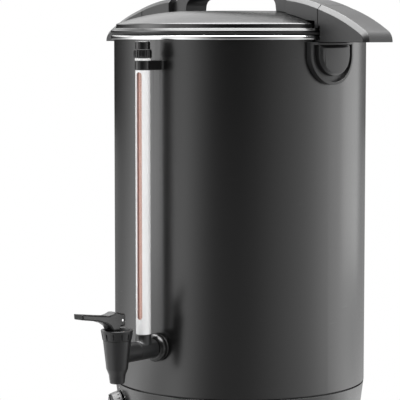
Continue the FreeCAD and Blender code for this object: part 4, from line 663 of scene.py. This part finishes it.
def build_world():
    world = bpy.data.worlds.new("studio")
    world.use_nodes = True
    scene.world = world
    recipe = Recipe(world.node_tree)
    x, y, z = recipe.split(recipe.node("ShaderNodeTexCoord", output="Generated"))
    towards_camera, towards_right = from_camera(x, y)
    behind = recipe.math("LESS_THAN", towards_camera, BEHIND)
    high = recipe.climb(z, *BACK_WALLS_RISE)
    low_walls = level_round(recipe, x, y, WALLS)
    high_walls = level_round(recipe, x, y, BACK_WALLS)
    walls = recipe.mix(low_walls, high_walls, high * behind)
    mirrored_room = recipe.mix(walls, CEILING_LIGHT, recipe.climb(z, *CEILING_RISE))
    straight, mirrored = recipe.rays()
    matt_light = towards_right * SIDE_LIGHT + PLAIN_LIGHT
    unseen = recipe.mix(matt_light, mirrored_room, mirrored)
    back = world.node_tree.nodes["Background"]
    back.inputs["Color"].default_value = grey(1.0)
    recipe.feed(back.inputs["Strength"], recipe.mix(unseen, 1.0, straight))


def soft_box(name, azimuth, distance, height, wide, tall, radiance):
    """A large soft lamp, at an azimuth in degrees from the camera to the right."""
    lamp = bpy.data.lights.new(name, "AREA")
    lamp.shape = "RECTANGLE"
    lamp.size = wide
    lamp.size_y = tall
    lamp.energy = math.pi * wide * tall * radiance
    stand = bpy.data.objects.new(name, lamp)
    scene.collection.objects.link(stand)
    stand.location = view_direction(VIEW_AZIMUTH + math.radians(azimuth)) * distance + UP * height
    stand.rotation_euler = (AIM - stand.location).to_track_quat("-Z", "Y").to_euler()
    print(name, round(lamp.energy, 1), "W")


build_world()
soft_box("left_box", azimuth=-86, distance=1.6, height=0.55, wide=0.85, tall=1.7, radiance=1.2)
soft_box("right_box", azimuth=118, distance=1.6, height=0.55, wide=0.9, tall=1.7, radiance=1.2)
soft_box("top_box", azimuth=-20, distance=1.7, height=1.9, wide=1.4, tall=1.4, radiance=0.8)

# %% [markdown]
# ## Floor
# The urn stands on a plain pale floor. Close to it the floor is matt and takes the shadow. Further
# out it fades into plain white, like a paper roll, so no horizon shows behind the urn. Glossy
# surfaces mirror it there as bright as the walls beyond it, with a little more light.

# %% Floor
FLOOR_HALF = 6.0
FLOOR_FADE = (0.17, 0.30)


def build_floor():
    corners = [(sign_x * FLOOR_HALF, sign_y * FLOOR_HALF, 0)
               for sign_x, sign_y in ((-1, -1), (1, -1), (1, 1), (-1, 1))]
    mesh = bpy.data.meshes.new("floor")
    mesh.from_pydata(corners, [], [(0, 1, 2, 3)])
    floor = new_piece("floor", mesh)
    finish = Finish("pale_floor", Roughness=0.8)
    cloud = finish.noise(6.0, None, 2.0)
    finish.give("Base Color", finish.between(grey(0.80), grey(0.84), cloud))
    distance = finish.vectors("LENGTH", finish.place)
    fade = finish.climb(distance, *FLOOR_FADE, kind="SMOOTHSTEP")
    straight, mirrored = finish.rays()
    x, y, _ = finish.split(finish.place)
    glow = straight + mirrored * (level_round(finish, x, y, WALLS) + FLOOR_LIGHT)
    white = finish.node("ShaderNodeEmission", None, {"Strength": glow})
    matt = Amount(finish, finish.shader.outputs[0])
    sockets = {0: fade * (straight + mirrored), 1: matt, 2: white}
    mixed = finish.node("ShaderNodeMixShader", None, sockets)
    finish.feed(finish.tree.nodes["Material Output"].inputs["Surface"], mixed)
    mesh.materials.append(finish.material)


build_floor()
print("floor laid")

# %% [markdown]
# ## Places on the skirt
# Knob, switch, lamps and inlet sit on the sloping skirt. A place there has its own axes: across,
# up the slope, and out of the skirt. Printed marks are bent round the skirt so that they lie on it.

# %% Skirt places
SLOPE = (SKIRT_TOP[0] - SKIRT_FOOT[0]) / (SKIRT_TOP[1] - SKIRT_FOOT[1])
LEAN = math.atan(SLOPE)
PANEL_LEVEL = SEAM - 0.025


def skirt_radius(level):
    return SKIRT_FOOT[0] + (level - SKIRT_FOOT[1]) * SLOPE


def skirt_place(angle, level):
    """A frame on the skirt's face at an angle from the tap, as a matrix."""
    turn = math.radians(angle)
    outwards = view_direction(turn)
    side = Vector((math.cos(turn), math.sin(turn), 0))
    normal = outwards * math.cos(LEAN) - UP * math.sin(LEAN)
    place = Matrix((side, normal.cross(side), normal)).transposed().to_4x4()
    place.translation = outwards * skirt_radius(level) + UP * level
    return place


def wrap_on_skirt(mesh, angle, level):
    """Bend flat marks, drawn as across, up and out, round the skirt."""
    for vertex in mesh.vertices:
        across, up, out = vertex.co
        here = level + up * math.cos(LEAN)
        place = skirt_place(angle + math.degrees(across / skirt_radius(here)), here)
        vertex.co = place @ Vector((0, 0, out))


print("skirt leans", round(math.degrees(LEAN), 2), "degrees")

# %% [markdown]
# ## Lid and rim
# The lid is spun from sheet: a flat middle, a shallow dome, a small step and a flange with a turned
# lip. The rim ring below it is a rolled bead. Both are turned here with many steps round, because
# a glossy coat and polished steel show every facet.

# %% Lid and rim
LID_WALL = 0.0008
LID_TOP = RIM + 0.030
LID_FLAT = 0.054
DOME_RISE = 0.0135
SHOULDER, SHOULDER_LEVEL = SHELL - 0.0023, RIM + 0.0165
FLANGE, FLANGE_TOP, FLANGE_FOOT = SHELL + 0.0036, RIM + 0.0116, RIM + 0.0074
FLANGE_BACK = FLANGE_TOP - 0.0009
ROUND_STEPS = 256


def dome_arc(level, wall, steps=28):
    """Points along the dome from the flat to the shoulder."""
    wide = SHOULDER - wall - LID_FLAT
    curve = (wide ** 2 + DOME_RISE ** 2) / (2 * DOME_RISE)
    points = []
    for step in range(steps + 1):
        reach = wide * step / steps
        height = level - curve + math.sqrt(curve ** 2 - reach ** 2)
        points.append((LID_FLAT + reach, height, 0))
    return points


def lid_outline():
    outside = [(0, LID_TOP, 0)] + dome_arc(LID_TOP, 0)
    outside[-1] = (SHOULDER, SHOULDER_LEVEL, 0.003)
    lip = [(SHOULDER, FLANGE_TOP, 0.0006), (FLANGE - 0.0021, FLANGE_TOP, 0.0008),
           (FLANGE, RIM + 0.0092, 0.0016), (FLANGE, FLANGE_FOOT, 0.0003),
           (FLANGE - LID_WALL, FLANGE_FOOT, 0.0003), (FLANGE - LID_WALL, RIM + 0.0088, 0.0006),
           (FLANGE - 0.0025, FLANGE_BACK, 0.0006), (SHOULDER - LID_WALL, FLANGE_BACK, 0.0006)]
    inside = dome_arc(LID_TOP - LID_WALL, LID_WALL)[::-1] + [(0, LID_TOP - LID_WALL, 0)]
    inside[0] = (SHOULDER - LID_WALL, SHOULDER_LEVEL - LID_WALL, 0.0022)
    return rounded(outside + lip + inside)


lid = turned("spun_lid", lid_outline(), around=ROUND_STEPS)
settle(lid, SPUN_LID, "lid", "shell_black", "lid_shell")

bead_out, bead_mid, bead_in = SHELL + 0.0032, SHELL + 0.0006, SHELL - 0.004
bead_top, bead_back = RIM + 0.0047, RIM + 0.0041
bead = [(bead_mid, RIM, 0.0002), (bead_out, RIM, 0.0022), (bead_out, bead_top, 0.0022),
        (bead_in, bead_top, 0.0003), (bead_in, bead_back, 0.0002), (bead_mid, bead_back, 0.0002)]
rim = turned("rolled_rim", rounded(bead, 8), around=ROUND_STEPS)
settle(rim, FINISHES["steel_bright"], "urn", "steel_bright", "rim_ring")

# %% [markdown]
# ## Drum, skirt and tank
# The drum is one sheet, the skirt a deep pressing that closes it below, with a dark groove between
# them. Their CAD shapes are right, so copies are merged and their cut edges get a narrow bevel.

# %% Drum, skirt and tank
dress("outer_shell", "drum", 0.0002, joined=0)
dress("base_skirt", "skirt", 0.0004)
dress("inner_tank", "tank", 0)

# %% [markdown]
# ## Handles
# One long bowed handle spans the lid, and its line runs on in the two side handles. All three are
# moulded with a broad chamfer, and the light runs along its two edges, so these get a soft bevel.

# %% Handles
dress("lid_handle", "long_handle", 0.0005, corner=18, steps=3)
for side in ("right", "left"):
    dress("side_handle_" + side, "side_handle_" + side + "_moulding", 0.0005, corner=18, steps=3)
    dress("handle_cover_" + side, "cover_" + side, 0.0006, corner=18, steps=3)

# %% [markdown]
# ## Sight gauge
# A white shield stands round the glass, with a slot that shows the copper strip behind the tube. On
# top come the clamp, a white washer, a knurled nut and a glossy cap. The nut's grip is a ring of
# ribs, so it is a plain turned core with ribs that Geometry Nodes set out.

# %% Sight gauge
BORE = 0.00575
NUT_LOW, NUT_HIGH = RIM - 0.0183, RIM - 0.0096
NUT_FOOT, NUT_CORE, NUT_CROWN = 0.0090, 0.0086, 0.0088
CAP_LOW, CAP_HIGH = RIM - 0.0096, RIM - 0.0014
CAP_FLOOR = CAP_LOW + 0.0052
CAP_RADIUS, CAP_HOLE, VENT = 0.0076, 0.0016, 0.001
RIBS, RIB_CIRCLE = 20, 0.0085
RIB_SIZE, RIB_EDGE = (0.0014, 0.0016, NUT_HIGH - NUT_LOW - 0.0016), 0.00045


def flat_pattern(name, size, edge):
    """A small bar of a width, depth and height that stands on the ground with rounded edges."""
    shape = bmesh.new()
    bmesh.ops.create_cube(shape, size=1.0)
    bmesh.ops.scale(shape, vec=size, verts=shape.verts)
    bmesh.ops.translate(shape, vec=(0, 0, size[2] / 2), verts=shape.verts)
    bmesh.ops.bevel(shape, geom=list(shape.edges), offset=edge, segments=2, profile=0.5,
                    affect="EDGES")
    return mesh_of(shape, name)


def joined_pieces(name, *pieces):
    """Join meshes that are one moulding."""
    shape = bmesh.new()
    for piece in pieces:
        shape.from_mesh(piece.data)
    mesh = mesh_of(shape, name)
    for piece in pieces:
        bpy.data.objects.remove(piece)
    shade(mesh)
    return new_piece(name, mesh)


dress("gauge_shield", "gauge_cover", 0.00018)
dress("gauge_clamp", "glass_clamp", 0.0004)
dress("gauge_ring", "gauge_washer", 0.0003)
dress("gauge_strip", "copper_strip", 0)
dress("gauge_glass", "sight_glass", 0)
core = turned("nut_core", rounded([
    (BORE, NUT_LOW, 0.0002), (NUT_FOOT, NUT_LOW, 0.0007), (NUT_FOOT, NUT_LOW + 0.0011, 0.0002),
    (NUT_CORE, NUT_LOW + 0.0013, 0.0002), (NUT_CORE, NUT_HIGH - 0.0011, 0.0002),
    (NUT_CROWN, NUT_HIGH - 0.0009, 0.0002), (NUT_CROWN, NUT_HIGH, 0.0007),
    (BORE, NUT_HIGH, 0.0002)]), around=96, place=Matrix.Translation(GAUGE))
ribs = ring_of("nut_ribs", flat_pattern("nut_rib", RIB_SIZE, RIB_EDGE), RIBS, RIB_CIRCLE,
               first_angle=0.0, step_angle=2 * math.pi / RIBS,
               place=Matrix.Translation(GAUGE + UP * (NUT_LOW + 0.0006)))
settle(joined_pieces("knurled_nut", core, ribs), GLOSS, "urn", "plastic_gloss", "gauge_nut")
cap = turned("gauge_top", rounded([
    (VENT, CAP_FLOOR, 0), (BORE, CAP_FLOOR, 0.0003), (BORE, CAP_LOW, 0.0002),
    (CAP_RADIUS, CAP_LOW, 0.0004), (CAP_RADIUS, CAP_HIGH, 0.0013), (CAP_HOLE, CAP_HIGH, 0.0005),
    (VENT, CAP_HIGH - 0.0005, 0)], 8), around=96, place=Matrix.Translation(GAUGE))
settle(cap, GLOSS, "urn", "plastic_gloss", "gauge_cap")

# %% [markdown]
# ## Tap
# The tee carries water to both gauge and tap. The tap is a cup with a knurled collar, and its lever
# lifts the stem. These are mouldings and turned pieces with small rounded edges. The spring over
# the stem keeps its CAD shape and gets a mesh of its own.

# %% Tap
dress("gauge_tee", "tee", 0.0004)
dress("outer_washer", "wall_washer", 0.0003)
dress("flange_nut", "wall_nut", 0.0005, steps=3)
dress("tap_body", "tap_cup", 0.0005, steps=3)
dress("tap_collar", "tap_ring", 0.00025)
dress("tap_lever", "lever", 0.0005, corner=24, steps=3)
dress("tap_stem", "stem", 0.0002)
dress("lever_pin", "hinge_pin", 0.0003)
spring = dress("tap_spring", "spring", 0, joined=0)
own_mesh(spring)

# %% [markdown]
# ## Knob and its dial
# The control knob has grip notches and a raised pointer with a white line. Round it a row of
# printed ticks shows the heat. Geometry Nodes set the ticks out flat, then they are bent round the
# skirt.

# %% Knob and dial
KNOB_ANGLE, SWITCH_ANGLE, LAMP_ANGLE = -34.5, 32, 8
POINTER_SIZE, POINTER_EDGE = (0.0009, 0.0075, 0.00025), 0.0001
POINTER_PLACE = (0, 0.0085, 0.0127)
PRINT_HEIGHT, PRINT_EDGE = 0.00012, 0.00004
TICK_SIZE = (0.0007, 0.0026, PRINT_HEIGHT)
TICKS, DIAL_CIRCLE = 11, 0.0196
DIAL_START, DIAL_STEP = math.radians(45), math.radians(27)

dress("control_knob", "heat_knob", 0.0003)
pointer = new_piece("pointer_line", flat_pattern("pointer_line", POINTER_SIZE, POINTER_EDGE))
pointer.data.transform(skirt_place(KNOB_ANGLE, PANEL_LEVEL) @ Matrix.Translation(POINTER_PLACE))
settle(pointer, MARK_WHITE, "knob", "plastic_black")
tick = flat_pattern("dial_tick", TICK_SIZE, PRINT_EDGE)
dial = ring_of("dial_ticks", tick, TICKS, DIAL_CIRCLE, DIAL_START, DIAL_STEP)
wrap_on_skirt(dial.data, KNOB_ANGLE, PANEL_LEVEL)
settle(dial, MARK_WHITE, "urn", "skirt_black")

# %% [markdown]
# ## Switch and pilot lamps
# The rocker carries a bar and a ring, the usual marks for on and off. Each lamp is a domed red lens
# in a narrow black bezel, turned on its own axis and set on the skirt.

# %% Switch and lamps
MARK_REACH = 0.0058
BAR_SIZE = (0.0007, 0.0034, PRINT_HEIGHT)
MARK_RING = (0.0012, 0.0018)
ON_SLOPE, ON_HEIGHT = math.atan2(0.00028, 0.01096), 0.00076
OFF_SLOPE, OFF_HEIGHT = math.atan2(0.00252, 0.01182), -0.0006
LENS_RADIUS, LENS_FOOT, LENS_RISE = 0.0045, 0.0012, 0.0021
LENS_STEM, STEM_DEPTH = 0.0038, -0.0138

dress("switch_frame", "switch_surround", 0.0004)
dress("switch_rocker", "rocker", 0.0003)


def rocker_mark(mark, along, slope, height):
    """Lay a mark on one face of the rocker."""
    tilt = Matrix.Rotation(-slope, 4, "Y")
    face = skirt_place(SWITCH_ANGLE, PANEL_LEVEL) @ Matrix.Translation((along, 0, height)) @ tilt
    mark.data.transform(face)
    settle(mark, MARK_WHITE, "rocker", "plastic_gloss")


bar = new_piece("on_mark", flat_pattern("on_mark", BAR_SIZE, PRINT_EDGE))
rocker_mark(bar, MARK_REACH, ON_SLOPE, ON_HEIGHT)
hole, edge = MARK_RING
ring = turned("off_mark", rounded([(hole, 0, 0), (edge, 0, 0), (edge, PRINT_HEIGHT, 0),
                                   (hole, PRINT_HEIGHT, 0)]), around=48)
rocker_mark(ring, -MARK_REACH, OFF_SLOPE, OFF_HEIGHT)

lens_line = []
for degrees in range(0, 90, 9):
    angle = math.radians(degrees)
    lens_line.append((LENS_RADIUS * math.cos(angle), LENS_FOOT + LENS_RISE * math.sin(angle), 0))
lens_outline = rounded([(0, STEM_DEPTH, 0), (LENS_STEM, STEM_DEPTH, 0.0004),
                        (LENS_STEM, 0.0002, 0), (LENS_RADIUS, 0.0002, 0.0002)]
                       + lens_line + [(0, LENS_FOOT + LENS_RISE, 0)])
bezel_outline = rounded([(LENS_RADIUS, 0.00025, 0), (0.0060, 0.00025, 0.0002),
                         (0.0058, 0.0011, 0.0003), (0.0047, 0.0014, 0.0003),
                         (LENS_RADIUS, 0.0012, 0)])
lenses, bezels = [], []
for sign in (1, -1):
    lamp_place = skirt_place(sign * LAMP_ANGLE, PANEL_LEVEL)
    lenses.append(turned("lens", lens_outline, around=64, place=lamp_place))
    bezels.append(turned("bezel", bezel_outline, around=64, place=lamp_place))
red = FINISHES["lamp_red"]
settle(joined_pieces("red_lenses", *lenses), red, "urn", "lamp_red", "pilot_lamps")
settle(joined_pieces("lamp_bezels", *bezels), GLOSS, "urn", "plastic_gloss")

# %% [markdown]
# ## Feet, inlet and screws
# Four rubber feet with a screw well stand under the skirt. One foot is turned and Geometry Nodes
# put it at its four places. The inlet and the screws keep their CAD shapes with softened edges.

# %% Feet, inlet and screws
FEET, FOOT_CIRCLE = 4, 0.104
FOOT_HOLE, FOOT_WELL, WELL_LEVEL = 0.0022, 0.0046, 0.005

foot = turned_mesh("foot_pattern", rounded([
    (FOOT_HOLE, WELL_LEVEL, 0), (FOOT_WELL, WELL_LEVEL, 0.0003), (FOOT_WELL, 0, 0.0005),
    (0.011, 0, 0.0012), (0.0117, 0.003, 0.0002), (0.0121, 0.0033, 0.0002),
    (0.0124, 0.0062, 0.0002), (0.0128, 0.0065, 0.0002), (0.013, 0.009, 0.0004),
    (FOOT_HOLE, 0.009, 0)]), around=72)
feet = ring_of("feet", foot, FEET, FOOT_CIRCLE, first_angle=math.pi / 4,
               step_angle=2 * math.pi / FEET)
settle(feet, FINISHES["rubber"], "urn", "rubber", "rubber_feet")
dress("inlet_socket", "power_inlet", 0.0004)
dress("inlet_pins", "inlet_blades", 0.0003)
for node in ("clamp_screws", "inlet_screws", "foot_screws", "side_handle_screws",
             "lid_handle_screws"):
    dress(node, "set_of_" + node, 0.00012)
dress("base_plate", "bottom_plate", 0.0002)
dress("stud_nut", "bottom_nut", 0.0004)

# %% [markdown]
# ## What the covers hide
# The other nodes sit inside, behind the walls. Their CAD shapes stay, and each gets the finish of
# its own material, so an opened or cut view shows them right too.

# %% Finishes for the nodes that stay
kept = [name for name, item in frame["nodes"].items() if not item.hide_render]
for name in kept:
    for holder in frame["nodes"][name].material_slots:
        holder.material = FINISHES[SLOT_OF[name]]
print("kept CAD nodes", len(kept))
